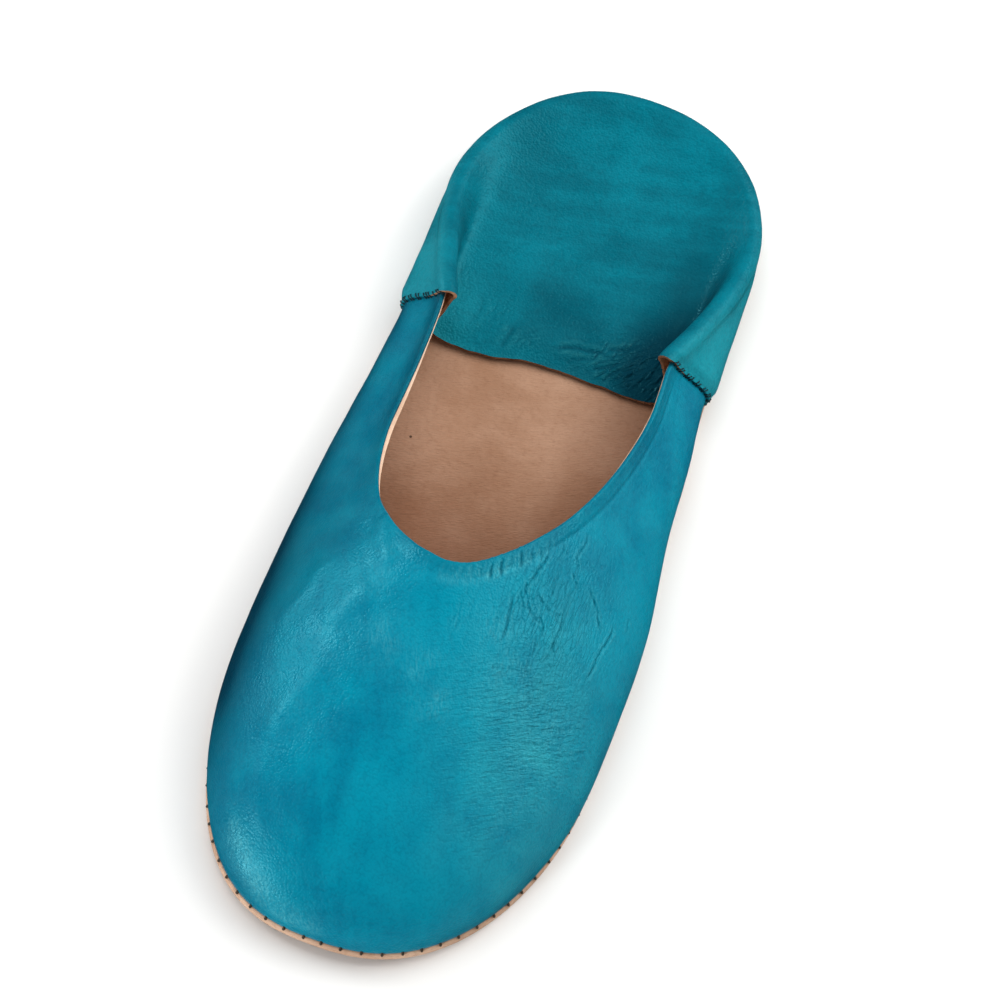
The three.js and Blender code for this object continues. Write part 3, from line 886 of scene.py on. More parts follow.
def vampGrid():
    start = -turnAt(seamY(-1) + last["seamLap"])
    end = turnAt(seamY(1) + last["seamLap"])
    fine = np.linspace(start, end, 4000)
    middle = upperFace(fine, np.full_like(fine, 0.55))
    speed = np.linalg.norm(np.gradient(middle, axis=0), axis=-1)
    degrees = np.degrees(fine)
    closer = smooth((degrees - vamp["creasedFrom"]) / 8) * smooth((vamp["creasedTo"] - degrees) / 8)
    weight = np.cumsum(speed * (1 + vamp["closer"] * closer))
    turns = np.interp(np.linspace(weight[0], weight[-1], vamp["sections"]), weight, fine)
    nearTop = 0.99
    topRun = upperFace(turns, np.ones_like(turns)) - upperFace(turns, np.full_like(turns, nearTop))
    topSpeed = np.linalg.norm(topRun, axis=-1) / (1 - nearTop)
    highest = 1 - vamp["rollRadius"] / topSpeed
    shares = np.linspace(0, 1, vamp["steps"])[None] ** vamp["upwards"] * highest[:, None]
    return turns, upperFace(turns[:, None], shares) + shift


def vampRelief(turns, face):
    degrees = np.degrees(turns)[:, None]
    fromSole = runOf(face, 1)
    fromEdge = fromSole[:, -1:] - fromSole
    edgeRun = runOf(face[:, -1], 0)
    height, troughShade = addCreases(face, vamp["creases"] + scatteredCreases(vamp["fineCreases"], 9), 10)
    # the crease ridges, for a painted highlight along them
    ridge = np.clip(height / 0.1, 0, 1)
    height += addCreases(face, [(-rise, width, line) for rise, width, line in vamp["folds"]], 70)[0]
    plan = face[..., :2]
    height += swells(face, vamp["swells"]) - patches(plan, vamp["hollows"])
    pucker = np.zeros_like(height)
    for middle, reach, depth in vamp["puckers"]:
        i, j = np.unravel_index(np.argmin(np.linalg.norm(plan - middle, axis=-1)), height.shape)
        across = fromEdge - fromEdge[i, j]
        away = np.abs(edgeRun[:, None] - edgeRun[i] + 0.05 * across + 0.25 * softNoise(face, 2.2, 5))
        length = smooth(reach - np.abs(across) + 0.5)
        valley = bump(away, vamp["puckerWidth"])
        height += length * depth * (0.6 * bump(away - vamp["puckerRidgeAt"], 0.45) - valley)
        # painted shade in each pucker's valley
        troughShade = np.maximum(troughShade, length * valley * min(depth * 4.2, 0.95))
        pucker = np.maximum(pucker, length * bump(away - vamp["puckerRidgeAt"], 0.6) * min(depth / 0.16, 1))
    # the edge is turned in over a cord's width, so it stands a little proud
    plain = 1 - 0.85 * smooth((-32 - degrees) / 20)
    fromBead = fromEdge - vamp["beadWidth"]
    height += vamp["beadRise"] * plain * smooth(-fromBead / 0.9)
    height -= vamp["beadGroove"] * plain * bump(fromBead - 0.3, 0.6)
    # painted shade in the groove inside the bead
    troughShade = np.maximum(troughShade, 0.3 * plain * bump(fromBead + 0.2, 0.5))
    # a lighter band just outside the bead
    throatPaleBand = bump(fromBead - 0.7, 1.4) * smooth((degrees + 8) / 12) * smooth((62 - degrees) / 20)
    # painted highlight on the ridges between puckers and on the crease ridges
    rubAndSheen = 0.7 * pucker + 0.5 * throatPaleBand + 0.4 * ridge
    strength, width, line = vamp["toePaintedHighlight"]
    path = smoothLine(line, 1.0)
    fromToeLine = np.min(np.linalg.norm(plan[..., None, :] - path, axis=-1), axis=-1)
    uneven = 0.9 + 0.3 * softNoise(face, 5, 11)
    # painted highlight round the toe's inner edge
    rubAndSheen += strength * bump(fromToeLine, width) * smooth((fromSole - 1) / 4) * uneven
    # rubbed places, and painted highlights on the inner shoulder's folds
    rubAndSheen += patches(plan, vamp["scuffsAndSheen"]) * (0.6 + 0.6 * softNoise(face, 4, 6))
    # painted shade where the inner side turns away and down, and on the toe; a darker band along the folded
    # edge
    facing = gridNormals(face)
    toInner, up, y = -facing[..., 0], facing[..., 2], face[..., 1]
    alongSide = smooth((y + 110) / 40) * (1 - 0.5 * smooth((y + 50) / 60))
    dark = vamp["sideShade"] * smooth((0.94 - up) / 0.52) * smooth((toInner - 0.25) / 0.3) * alongSide
    dark += vamp["upperSideShade"] * smooth((0.92 - up) / 0.5) * smooth((toInner - 0.1) / 0.4)
    dark += vamp["toeShade"] * smooth((-88 - y) / 26) * smooth((up - 0.4) / 0.3)
    dark += vamp["foldDark"] * plain * smooth((2.8 - fromEdge) / 1.2)
    pale = patches(plan, vamp["pale"]) * (0.75 + 0.5 * softNoise(face, 5, 7))
    # nothing stands up along the sole or under the heel piece
    fade = smooth(fromSole / 4)
    clearOfHeel = smooth((seamY(1) + shift[1] - 3 - y) / 6)
    return height * fade * clearOfHeel, {
        "troughShade": np.clip(troughShade * fade, 0, 1),
        "rubAndSheen": np.clip(rubAndSheen, 0, 1) * fade,
        "wrinkled": np.clip(patches(plan, vamp["wrinkled"]), 0, 1) * fade,
        "rippled": np.clip(patches(plan, vamp["rippled"]), 0, 1) * fade,
        "dark": np.clip(dark, 0, 1),
        "pale": np.clip(pale, 0, 1),
    }, fromEdge


def buildVamp():
    turns, face = vampGrid()
    height, values, fromEdge = vampRelief(turns, face)
    face = face + levelNormals(face) * height[..., None]
    out = gridNormals(face)
    rising = unit(face[:, -1] - face[:, -3])
    topOut = unit(out[:, -1] - rising * np.sum(out[:, -1] * rising, -1, keepdims=True))
    half = vamp["rollRadius"]
    centre = face[:, -1] - topOut * half
    # the edge is rolled over and turned in, and the flesh side has a coarser grid
    columns = [face]
    for k in range(1, vamp["rollSteps"] + 1):
        angle = math.pi * k / vamp["rollSteps"]
        columns.append((centre + half * (topOut * math.cos(angle) + rising * math.sin(angle)))[:, None])
    turnedIn = [(0.8, 2.0 * half), (1.8, 2.0 * half - 0.05), (2.6, vamp["leather"] + 0.1)]
    for down, depth in turnedIn:
        columns.append((face[:, -1] - topOut * depth - rising * down)[:, None])
    rimCount = vamp["rollSteps"] + len(turnedIn)
    outerCount = vamp["steps"] + rimCount
    inside = np.arange(vamp["steps"] - 6, -1, -14)
    inside[-1] = 0
    inward = out[:, inside].copy()
    inward[:, -1, 2] = 0
    columns.append(face[:, inside] - unit(inward) * vamp["leather"])
    loops = np.concatenate(columns, 1)
    sections, count = loops.shape[:2]
    full = {}
    for key, value in values.items():
        rim = np.repeat(value[:, -1:], rimCount, 1)
        full[key] = np.concatenate([value, rim, np.zeros((sections, len(inside)))], 1)
    faces = loopFaces(sections, count, outerCount)
    piece = makePiece("vampLeather", loops.reshape(-1, 3), faces, [vampDye], values=full)
    # the lining is glued inside and stops just under the folded edge
    rows = np.unique(np.append(np.arange(0, sections, 3), sections - 1))
    highest = vamp["steps"] - 1
    steps = np.unique(np.append(np.linspace(0, highest, 40).astype(int), [highest - 4, highest - 2]))
    base, away = face[rows][:, steps], out[rows][:, steps].copy()
    away[:, 0, 2] = 0
    away = unit(away)
    nearTop = smooth(1.4 - fromEdge[rows][:, steps] / 3)[..., None]
    trim = 0.1 * softNoise(base[:, -1:], 6, 8)[..., None]
    # it stands a little past the fold, less towards the seams
    innerSide = smooth((-base[:, -1:, 0] - 10) / 10)
    past = 0.5 - 0.3 * smooth((base[:, -1:, 1] - 22) / 16)
    past = (past + 0.75 * innerSide * bump(base[:, -1:, 1] + 1, 20))[..., None]
    outerFace = base - away * mix(vamp["leather"] + 0.1, 2 * half + 0.06, nearTop)
    innerFace = base - away * (mix(last["wall"], 2 * half + past, nearTop) + trim * nearTop)
    lining = np.concatenate([outerFace, innerFace[:, ::-1]], 1)
    faces = loopFaces(len(rows), 2 * len(steps), len(steps))
    liner = makePiece("vampLining", lining.reshape(-1, 3), faces, [liningHide],
                      values={"wornAndShade": np.zeros(lining.shape[:2])})
    return piece, liner, face, out


vampLeather, vampLining, vampFace, vampOut = buildVamp()
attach(vampLeather, "root")
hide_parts("upper_vamp")
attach(vampLining, "root")
print("vamp made")

# the back of the upper, folded down flat inside
heel = {
    "sections": 400,
    "wallSteps": 24,
    "foldSteps": 22,
    "flapSteps": 96,
    "towardsFront": 1.7,  # over 1 the grid is closer towards the flap's front edge
    # the rows of creases, hollows, swells and patches are as the vamp's
    "creases": [
        (0.24, 0.7, [(-2.1, 48.5), (2.1, 50.3), (7.7, 51.5), (12.2, 52.6)]),
        (0.5, 0.7, [(18.4, 46.4), (21.4, 50.8), (24.6, 57.4)]),
        (0.44, 0.6, [(15.5, 45.6), (18.9, 50), (21.5, 54.4)]),
        (0.38, 0.6, [(22.4, 46.8), (25.4, 50.5), (28, 56)]),
        (0.34, 0.6, [(9, 46.4), (12.6, 48.4), (16.4, 51.8)]),
        (0.32, 0.6, [(11, 53.5), (16, 55.8), (20.6, 59.6)]),
        (0.3, 0.6, [(24, 60), (27.5, 64.6), (29, 70)]),
        (0.12, 0.8, [(-15.7, 44.4), (-14.5, 48.1), (-14, 52)]),
        (0.12, 0.6, [(2, 45), (5, 47.4), (9.4, 49.2)]),
        (0.08, 0.9, [(-26, 49), (-24, 53.5), (-25, 58)]),
    ],
    "fineCreases": [
        (34, (19, 51.5), (10, 6), 56, (4, 11), 0.26),
        (12, (-3, 50), (9, 5), 42, (3, 8), 0.07),
        (6, (-22, 53), (5, 6), 100, (3, 7), 0.05),
    ],
    "hollows": [
        (0.5, 20, (2, 88)), (-0.4, 14, (-18, 72)), (0.35, 12, (20, 76)), (-0.3, 12, (6, 62)),
        (0.3, 10, (-22, 98)),
    ],
    "swells": [(0.28, 26, 21), (0.12, 10, 22), (0.05, 4.5, 23)],
    "flapDeepest": 0.15,  # the flap lies on the insole, so no trough goes deeper
    # patches of painted shade on the flap: amount, radius, middle, drawn out along x and y
    "dark": [(0.5, 13, (16, 50), (1.8, 1.0)), (0.3, 8, (-6, 62), (2.4, 1.0))],
    "wrinkled": [(0.9, 11, (19, 51), (1.4, 1.0)), (0.3, 10, (-22, 54))],
    "flapRipple": 0.15,
    "stitchPitch": 1.5,
    "stitchPull": 1.15,
    "length": 300,  # about, along the wall from seam to seam
    "endCurl": 0.7,
    "endThickness": 0.75,
    "cutWorn": 0.7,
    # how far the cut front edge lies behind a straight one, from the inner side to the outer
    "edgeWander": [
        (-34, -0.4), (-27, -1.4), (-18, -0.9), (-9, 1.0), (4, 1.4), (13, 0.6), (20, -0.4), (31, -1.2),
    ],
}


def flapEdge(share):
    angle = math.pi * (0.5 - share)
    back = 1 - np.abs(np.cos(angle)) ** 0.5
    y = last["flapStation"] + last["flapCorner"] * back + last["flapSkew"] * (0.5 - share)
    soles = last["soleThickness"] + last["insoleThickness"]
    z = bottomHeight(y) + soles + 2 * last["clearance"] + last["wall"]
    return np.stack([np.sin(angle) * last["flapWidth"] / 2, y, z + last["flapCornerLift"] * back], -1)


def heelWall(turn, share):
    return upperFace(turn, share) + faceDirections(turn, share)[0] * heelPieceOut


def heelFoot(turn):
    floor = feather(turn)[..., 2]
    low, high = np.zeros_like(turn), np.full_like(turn, 0.4)
    for _ in range(20):
        middle = (low + high) / 2
        above = heelWall(turn, middle)[..., 2] > floor
        high, low = np.where(above, middle, high), np.where(above, low, middle)
    return np.where(heelWall(turn, np.full_like(turn, 0.01))[..., 2] > floor, 0.0, high)


def heelGrid():
    share = np.linspace(0, 1, heel["sections"])
    turn = mix(seamTurn[1], 2 * math.pi + seamTurn[-1], share)
    foot = heelFoot(turn)
    steps = np.arange(heel["wallSteps"]) / heel["wallSteps"]
    wallPart = heelWall(turn[:, None], foot[:, None] + (1 - foot[:, None]) * steps[None])
    out, rising = faceDirections(turn, np.ones_like(turn))
    centre = topline(turn) - out * last["wall"] / 2
    radius = 1.5 * last["wall"] + last["clearance"]
    fold = np.radians(ringAt(8, turn))

    def onFold(angle):
        angle = angle[..., None]
        return centre[:, None] + radius * (out[:, None] * np.cos(angle) + rising[:, None] * np.sin(angle))

    foldPart = onFold(fold[:, None] * np.arange(heel["foldSteps"])[None] / heel["foldSteps"])
    start = onFold(fold[:, None])[:, 0]
    leaving = rising * np.cos(fold)[:, None] - out * np.sin(fold)[:, None]
    edge = flapEdge(share)
    run = np.linalg.norm(start - edge, axis=-1)
    fall = np.maximum(-leaving[:, 2], 0.01)
    first = start + leaving * np.minimum(last["flapFall"] * run, (start[:, 2] - edge[:, 2]) / fall)[:, None]
    final = mix(edge, np.stack([start[:, 0], start[:, 1], edge[:, 2]], -1), last["flapLie"])
    t = 1 - (1 - np.linspace(0, 1, heel["flapSteps"])[None]) ** heel["towardsFront"]
    corners = [point[:, None] for point in (start, first, final, edge)]
    flapPart = bezier(*corners, np.repeat(t, len(share), 0))
    return share, np.concatenate([wallPart, foldPart, flapPart], 1) + shift


def buildHeel():
    share, face = heelGrid()
    steps = face.shape[1]
    flapStart = heel["wallSteps"] + heel["foldSteps"]
    column = np.arange(steps)[None]
    onFlap = smooth((column - flapStart) / 8) * np.ones((len(share), 1))
    onWall = smooth((heel["wallSteps"] - column) / 8) * np.ones((len(share), 1))
    fromSole = runOf(face, 1)
    fromFront = fromSole[:, -1:] - fromSole
    endRun = np.minimum(share, 1 - share)[:, None] * heel["length"]
    creases = heel["creases"] + scatteredCreases(heel["fineCreases"], 12)
    # the creases carry painted shade along their bottoms, as on the vamp
    height, troughShade = addCreases(np.where(onFlap[..., None] > 0.3, face, 1e4), creases, 30)
    ridge = np.clip(height / 0.1, 0, 1)
    height += swells(face, heel["swells"]) - onFlap * patches(face[..., :2], heel["hollows"])
    height *= smooth(fromSole / 5)
    height = np.where(onFlap > 0.5, np.maximum(height, -heel["flapDeepest"]), height)
    # the stitches pull the ends of the wall down on the vamp
    pulled = smooth(1 - endRun / 4.5) * smooth((flapStart - 4 - column) / 10)
    height = height * (1 - pulled) - heel["stitchPull"] * pulled
    face = face + levelNormals(face) * height[..., None]
    # the front edge was cut by hand, so it wanders a little
    at, wander = np.array(heel["edgeWander"]).T
    wander = throughKnots(at, wander, np.clip(face[:, -1:, 0], at[0], at[-1])) * smooth(endRun / 6)
    face[..., 1] += onFlap * bump(fromFront, 14) * wander
    face[..., 1] += onFlap * bump(fromFront, 4) * swells(face, [(0.3, 6, 24), (0.15, 2.5, 25)])
    dip = 0.75 - 0.25 * softNoise(face, 9, 26)
    face[..., 2] -= onFlap * bump(fromFront, 5) * dip * smooth(endRun / 12)
    # the raw ends curl up a little at the notches
    curl = bump(endRun, 3.5) * bump(column - heel["wallSteps"] - 14, 8)
    face = face + gridNormals(face) * (heel["endCurl"] * curl)[..., None]
    out = levelNormals(face)
    # the leather is pared thin along its cuts, and the flesh side has a coarser grid
    nearCut = np.maximum(bump(fromFront, 6.0), smooth(1 - endRun / 5))
    thickness = mix(last["wall"], heel["endThickness"], nearCut)
    picked = np.unique(np.append(np.arange(steps - 1, -1, -4), 0))[::-1]
    inner = face[:, picked] - out[:, picked] * thickness[:, picked][..., None]
    loops = np.concatenate([face, inner], 1)
    sections, count = loops.shape[:2]
    faces = loopFaces(sections, count, steps)
    # the flesh side and the cut edges are bare, and the oversewn ends of the wall are dyed
    bare = [int(j >= steps - 1) for j in range(count) for _ in range(sections - 1)]
    dyedUpTo = heel["wallSteps"] - 2
    for rung in faces[count * (sections - 1):]:
        bare.append(int(min(rung) % count >= dyedUpTo and max(rung) % count >= dyedUpTo))
    plan, x, y = face[..., :2], face[..., 0], face[..., 1]
    # a little lighter over the fold and at the flap's cut edge; painted light on the walls, and a painted
    # highlight on the crease ridges
    rubAndSheen = 0.2 * bump(column - heel["wallSteps"] - 4, 7) * np.ones_like(height)
    rubAndSheen += 0.35 * onWall * (0.5 + 0.5 * softNoise(face, 8, 27))
    rubAndSheen += 0.15 * onFlap * bump(fromFront, 1.2) + 0.7 * ridge
    # painted shade, darker towards the outer side, where the flap is deepest in the shoe, and in patches
    dark = onFlap * (0.85 * smooth((x - 9) / 18) * smooth((108 - y) / 44) + patches(plan, heel["dark"]))
    # painted light on the walls and on the inner side of the flap
    pale = 0.9 * smooth((flapStart - 8 - column) / 14) * (0.8 + 0.4 * softNoise(face, 7, 28))
    pale += 0.4 * onFlap * smooth((-20 - x) / 10) * smooth((72 - y) / 20)
    values = {
        "troughShade": troughShade,
        "rubAndSheen": np.clip(rubAndSheen, 0, 1),
        "wrinkled": np.clip(onFlap * patches(plan, heel["wrinkled"]), 0, 1),
        "rippled": heel["flapRipple"] * onFlap,
        "wornAndShade": np.zeros_like(troughShade),
        "dark": np.clip(dark, 0, 1),
        "pale": np.clip(pale, 0, 1),
    }
    full = {}
    for key, value in values.items():
        full[key] = np.concatenate([value, np.zeros((sections, len(picked)))], 1)
    full["wornAndShade"][:, steps - 1] = heel["cutWorn"]
    piece = makePiece("heelLeather", loops.reshape(-1, 3), faces, [heelDye, rawEdge],
                      faceMaterial=bare, values=full)
    return piece, face, out


heelLeather, heelFace, heelOut = buildHeel()
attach(heelLeather, "root")
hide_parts("upper_heel")
print("heel piece made")


def plateMesh(name, rings, half, across, lift, material, wornAndShade):
    # a flat leather plate: rings of its edge from the underside to the top, filled by rungs across
    around = 2 * half
    turns = np.pi * np.arange(around) / half
    points = []
    for inset, rise in rings:
        edge = outline(turns) - outward(turns) * inset(turns)[:, None]
        edge[:, 2] = bottomHeight(edge[:, 1]) + rise
        points.append(edge)
    faces = []
    for r in range(len(rings) - 1):
        for i in range(around):
            k = (i + 1) % around
            faces.append((r * around + i, r * around + k, (r + 1) * around + k, (r + 1) * around + i))
    total = len(rings) * around
    for level, up in ((0, False), (len(rings) - 1, True)):
        edge = points[level]
        index = {}
        for i in range(1, half):
            a, b = edge[i], edge[around - i]
            row = [level * around + i]
            for k in range(1, across):
                p = mix(a, b, k / across)
                p[2] = bottomHeight(p[1]) + rings[level][1]
                points.append(p[None])
                row.append(total)
                total += 1
            row.append(level * around + around - i)
            index[i] = row
        for i in range(1, half - 1):
            for k in range(across):
                quad = (index[i][k], index[i + 1][k], index[i + 1][k + 1], index[i][k + 1])
                faces.append(quad if up else quad[::-1])
        for tip, row in ((level * around, index[1]), (level * around + half, index[half - 1])):
            for k in range(across):
                fan = (tip, row[k], row[k + 1])
                towardsToe = tip == level * around
                faces.append(fan if towardsToe == up else fan[::-1])
    points = np.concatenate(points) + shift
    points[:, 2] += lift(points)
    return makePiece(name, points, faces, [material], sharpAngle=50, values={"wornAndShade": wornAndShade(points)})


outsole = {
    "edgeRound": 1.5,
    "toeParing": 0.75,
    "grooveInset": 4.6,
    "grooveDepth": 0.55,
    "stitchPitch": 5.2,
    "threadRadius": 0.38,
    "unevenness": 0.1,
    "edgeWorn": 0.35,
}
insole = {
    # trodden hollows of the ball and the heel: depth, radius, middle, drawn out along x and y
    "dents": [(0.45, 26, (-4, -62), (1, 1.1)), (0.35, 22, (0, 88))],
    "swells": [(0.1, 16, 42), (0.05, 6, 43)],
    # painted shade under the throat and towards the outer side
    "frontShade": 0.78,
    "outerShade": 0.4,
}


def outsoleRings():
    edgeRound, top = outsole["edgeRound"], last["soleThickness"]
    groove, depth = outsole["grooveInset"], outsole["grooveDepth"]

    def level(inset):
        # the sole is pared a little closer round the toe
        return lambda turn: inset + outsole["toeParing"] * smooth((np.cos(turn) - 0.1) / 0.7)

    # the stitched channel, the rounded lower edge, then the side and the top
    rows = [(groove + 1.6, 0), (groove + 0.8, 0), (groove + 0.5, depth), (groove - 0.5, depth)]
    rows += [(groove - 0.8, 0), (groove - 1.4, 0), (edgeRound + 0.5, 0)]
    for angle in np.linspace(0, math.pi / 2, 6):
        rows.append((edgeRound * (1 - math.sin(angle)), edgeRound * (1 - math.cos(angle))))
    rows += [(0, top * 0.6), (0.1, top - 0.75), (0.3, top - 0.35), (0.62, top - 0.08)]
    rows += [(0.95, top), (1.6, top), (3.4, top)]
    return [(level(inset), rise) for inset, rise in rows]


def outsoleLift(points):
    topSide = points[:, 2] > 1.5
    return np.where(topSide, outsole["unevenness"] * softNoise(points, 7, 41), 0.0)


def outsoleWorn(points):
    return outsole["edgeWorn"] * bump(points[:, 2] - 0.2, 0.5)


outsoleLeather = plateMesh("outsoleLeather", outsoleRings(), 260, 18, outsoleLift, soleHide, outsoleWorn)
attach(outsoleLeather, "root")
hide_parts("outsole")


def insoleRings():
    base = last["soleThickness"] + last["clearance"]
    top = base + last["insoleThickness"]

    def inset(extra):
        return lambda turn: featherInset(turn) + last["wall"] + 1.5 * last["clearance"] + extra

    rows = [(0.3, base), (0, base + 0.4), (0, top - 0.4), (0.25, top - 0.1), (0.8, top)]
    rows += [(2.0, top - 0.05), (4.0, top - 0.1), (7.0, top - 0.12)]
    return [(inset(extra), rise) for extra, rise in rows]


def insoleLift(points):
    middle = bottomHeight(points[:, 1] - shift[1]) + last["soleThickness"] + last["clearance"] + 1.2
    lift = swells(points, insole["swells"]) - patches(points[:, :2], insole["dents"])
    return np.where(points[:, 2] > middle, lift, 0.0)


def insoleShade(points):
    # painted shade: darker under the throat towards the toe and towards the outer side, a little unevenly
    front = insole["frontShade"] * smooth((22 - points[:, 1]) / 58)
    outerSide = insole["outerShade"] * smooth((points[:, 0] - 2) / 28)
    return front + outerSide + 0.1 * smooth(softNoise(points, 18, 44))


insoleLeather = plateMesh("insoleLeather", insoleRings(), 200, 60, insoleLift, insoleHide, insoleShade)
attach(insoleLeather, "root")
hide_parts("insole")
print("soles made")

stitching = {
    "seamRadius": 0.18,
    "liningRadius": 0.2,
    "liningPitch": 4.3,
    "liningLength": 1.4,
}


def evenTurns(pitch):
    fine = np.linspace(0, 2 * math.pi, 4000)
    run = runOf(outline(fine)[None], 1)[0]
    count = int(run[-1] / pitch)
    return np.interp((np.arange(count) + 0.5) * run[-1] / count, run, fine)


def soleStitches():
    above, below = [], []
    turns = evenTurns(outsole["stitchPitch"])
    random = np.random.default_rng(5)
    for turn, ahead in zip(turns, np.append(turns[1:], turns[0] + 2 * math.pi)):
        turn = np.array(turn + random.normal(0, 0.0025))
        out, foot = outward(turn), feather(turn)
        underHeelPiece = math.cos(turn) < -seamY(1) / halfLength
        face = foot + out * (heelPieceOut if underHeelPiece else 0.0)
        top = foot[2] - last["clearance"]
        path = [face - out * 0.3 + (0, 0, 0.6), face + out * 0.1 + (0, 0, 0.3), face + out * 0.3]
        path.append(face + out * 0.46)
        path[2][2], path[3][2] = top + 0.2, top - 0.4
        above.append(arcThrough(path, 8) + shift)
        spanTurns = mix(float(turn), ahead, np.array([0.12, 0.2, 0.5, 0.8, 0.88]))
        under = outline(spanTurns) - outward(spanTurns) * outsole["grooveInset"]
        sink = outsole["grooveDepth"] + np.array([0.3, -0.2, -0.22, -0.2, 0.3])
        under[:, 2] = bottomHeight(under[:, 1]) + sink
        below.append(under + shift)
    return above, below


above, below = soleStitches()
ledgeStitches = threads("ledgeStitches", above, outsole["threadRadius"], soleThread)
soleStitchRow = threads("soleStitchRow", below, outsole["threadRadius"] * 0.9, soleThread)
for piece in (ledgeStitches, soleStitchRow):
    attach(piece, "root")


def seamStitches(sign):
    # oversewn across the end of the heel piece, from the sole up to the notch
    end = 0 if sign > 0 else heelFace.shape[0] - 1
    inwardStep = 1 if sign > 0 else -1
    edge = heelFace[end, : heel["wallSteps"] + 8]
    run = runOf(edge[None], 1)[0]
    paths = []
    random = np.random.default_rng(6 + sign)
    at = 1.8
    while at < run[-1] - 0.6:
        j = int(np.argmin(np.abs(run - at)))
        out = heelOut[end, j]
        back = heelFace[end + 5 * inwardStep, j]
        ahead = unit(edge[j] - back)
        along = unit(edge[min(j + 1, len(edge) - 1)] - edge[max(j - 1, 0)])
        length = 0.6 + 0.35 * random.random()
        slant = along * (0.25 + 0.55 * random.random())
        start = edge[j] - ahead * length - slant * 0.5
        paths.append(arcThrough([
            start - out * 0.35,
            start + out * 0.08,
            edge[j] - ahead * 0.15 + out * 0.14,
            edge[j] + ahead * 0.22 - out * 0.45 + slant * 0.4,
            edge[j] + ahead * 0.5 - out * 0.9 + slant * 0.6,
            edge[j] + ahead * 0.6 - out * 1.5 + slant * 0.7,
        ], 10))
        at += heel["stitchPitch"] * (0.85 + 0.3 * random.random())
    return paths


seamThread = threads("seamThread", seamStitches(1) + seamStitches(-1), stitching["seamRadius"], darkThread)
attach(seamThread, "root")


def liningStitches():
    # small stitches inside the throat that hold the lining to the folded edge
    paths = []
    inner = vampFace[:, -7] - vampOut[:, -7] * (2 * vamp["rollRadius"] + 0.5)
    rising = unit(vampFace[:, -1] - vampFace[:, -3])
    centre = inner - rising * 0.4
    run = runOf(centre[None], 1)[0]
    at = 6.0
    while at < run[-1] - 10:
        along = [at, at + 0.3, at + stitching["liningLength"] - 0.3, at + stitching["liningLength"]]
        points = np.stack([[np.interp(spot, run, centre[:, k]) for k in range(3)] for spot in along])
        i = int(np.argmin(np.abs(run - at)))
        lift = np.array([0.35, -0.12, -0.12, 0.35])[:, None]
        paths.append(arcThrough(points + vampOut[i, -4] * lift, 7))
        at += stitching["liningPitch"]
    return paths


liningThread = threads("liningThread", liningStitches(), stitching["liningRadius"], darkThread)
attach(liningThread, "root")
print("stitching made")

# floor, light and camera
studio = {
    "floorHalf": 3.0,
    "floorColour": colour(240, 239, 237),
    "floorPatches": colour(226, 226, 225),
    "worldStrength": 0.44,
    "cameraPlace": (0.089, -0.46855, 1.0088),
    "target": (0.0, 0.0, 0.012),
    "imageUp": (-0.334, 0.943, 0.0),
    "lens": 152.0,
}
imageUp = Vector(studio["imageUp"])
imageRight = Vector((imageUp.y, -imageUp.x, 0))


def makeFloor():
    mesh = bpy.data.meshes.new("floor")
    half = studio["floorHalf"]
    corners = [(-half, -half, 0), (half, -half, 0), (half, half, 0), (-half, half, 0)]
    mesh.from_pydata(corners, [], [(0, 1, 2, 3)])
    floor = addObject("floor", mesh)
    material, tree, shader, mm = startMaterial("paleFloor", 0.9, 0.1)
    cloud = noise(tree, mm, 0.004, 2.0)
    patchy = calc(tree, "MULTIPLY", cloud, 0.3)
    shade = blendColours(tree, patchy, studio["floorColour"], studio["floorPatches"])
    tree.links.new(shade, shader.inputs["Base Color"])
    mesh.materials.append(material)
    # as through a polarising filter, the leather shows the windows but not the floor or the walls
    floor.visible_glossy = False


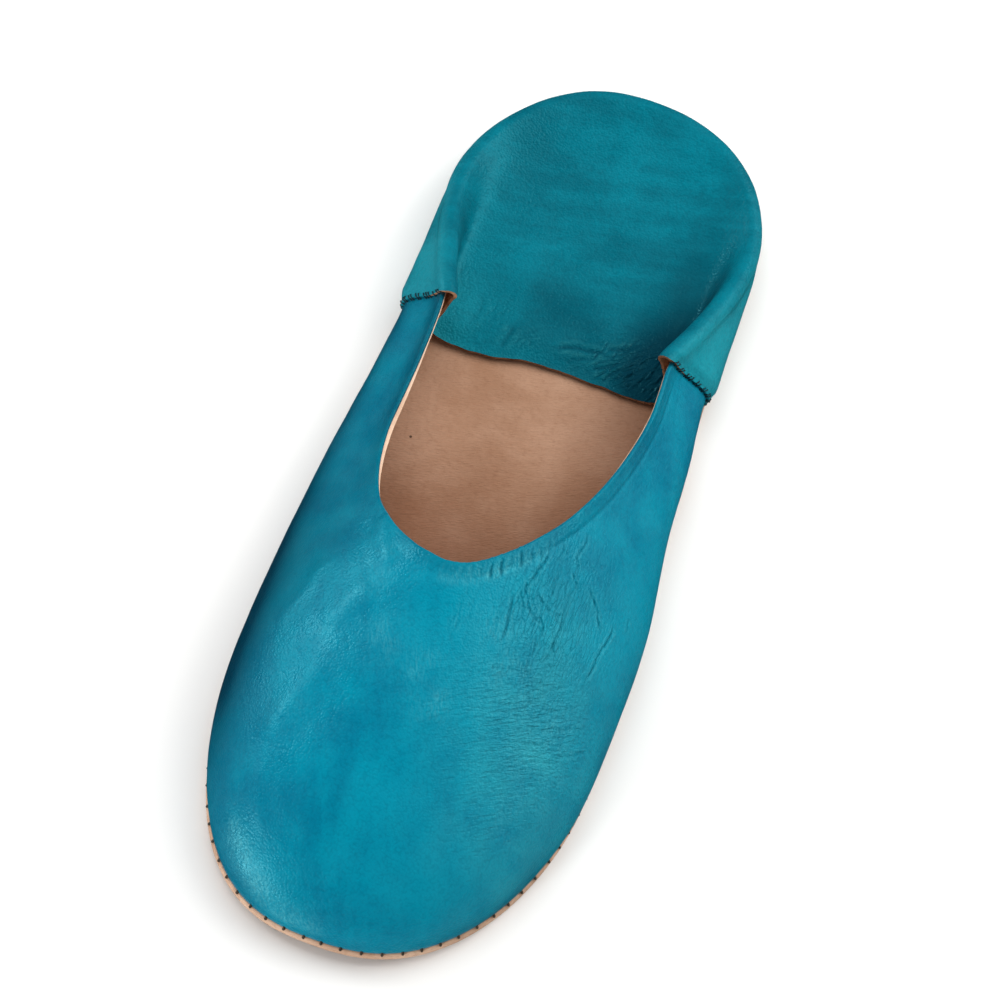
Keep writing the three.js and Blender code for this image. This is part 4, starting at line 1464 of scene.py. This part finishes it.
def makeLight(name, towards, height, distance, size, power, tint, shines=True, lights=True):
    # towards is across the picture and up it. A light that doesn't shine gives no highlights
    lamp = bpy.data.lights.new(name, "AREA")
    lamp.shape = "RECTANGLE"
    lamp.size, lamp.size_y = size
    lamp.energy = power
    lamp.color = tint
    holder = addObject(name, lamp)
    across = imageRight * towards[0] + imageUp * towards[1]
    holder.location = across.normalized() * distance + Vector((0, 0, height))
    holder.rotation_mode = "QUATERNION"
    holder.rotation_quaternion = (-holder.location).to_track_quat("-Z", "Y")
    holder.visible_glossy = shines
    holder.visible_diffuse = lights


def makeCamera():
    lens = bpy.data.cameras.new("camera")
    lens.lens = studio["lens"]
    lens.sensor_width = 36
    lens.clip_start, lens.clip_end = 0.01, 20
    camera = addObject("camera", lens)
    eye = Vector(studio["cameraPlace"])
    back = (eye - Vector(studio["target"])).normalized()
    up = (imageUp - back * imageUp.dot(back)).normalized()
    right = up.cross(back)
    turned = Matrix((right, up, back)).transposed().to_4x4()
    camera.matrix_world = Matrix.Translation(eye) @ turned
    bpy.context.scene.camera = camera


makeFloor()
makeLight("rightWindow", (1.0, 0.35), 1.1, 1.2, (1.2, 1.2), 19.5, (1.0, 0.985, 0.96))
makeLight("leftWindow", (-0.78, 0.42), 0.66, 1.15, (0.3, 0.4), 3.2, (0.97, 0.99, 1.0), shines=False)
makeLight("leftSheen", (-0.87, 0.48), 0.66, 1.15, (0.7, 0.12), 7.5, (0.97, 0.99, 1.0), lights=False)
makeLight("frontWindow", (-0.66, -0.7), 0.18, 1.15, (0.2, 0.22), 8, (0.96, 0.98, 1.0), shines=False)
makeLight("toeSheen", (-0.88, -0.48), 0.1, 1.15, (0.4, 0.12), 7, (0.96, 0.98, 1.0), lights=False)
makeLight("topFill", (0.0, 0.6), 1.9, 0.9, (1.8, 1.8), 26, (1.0, 1.0, 1.0), shines=False)
world = bpy.data.worlds.new("studioWorld")
world.use_nodes = True
sky = world.node_tree.nodes["Background"]
sky.inputs["Color"].default_value = (0.96, 0.98, 1.0, 1.0)
sky.inputs["Strength"].default_value = studio["worldStrength"]
world.cycles_visibility.glossy = False
bpy.context.scene.world = world
bpy.context.scene.view_settings.view_transform = "Standard"
makeCamera()
print("studio made")
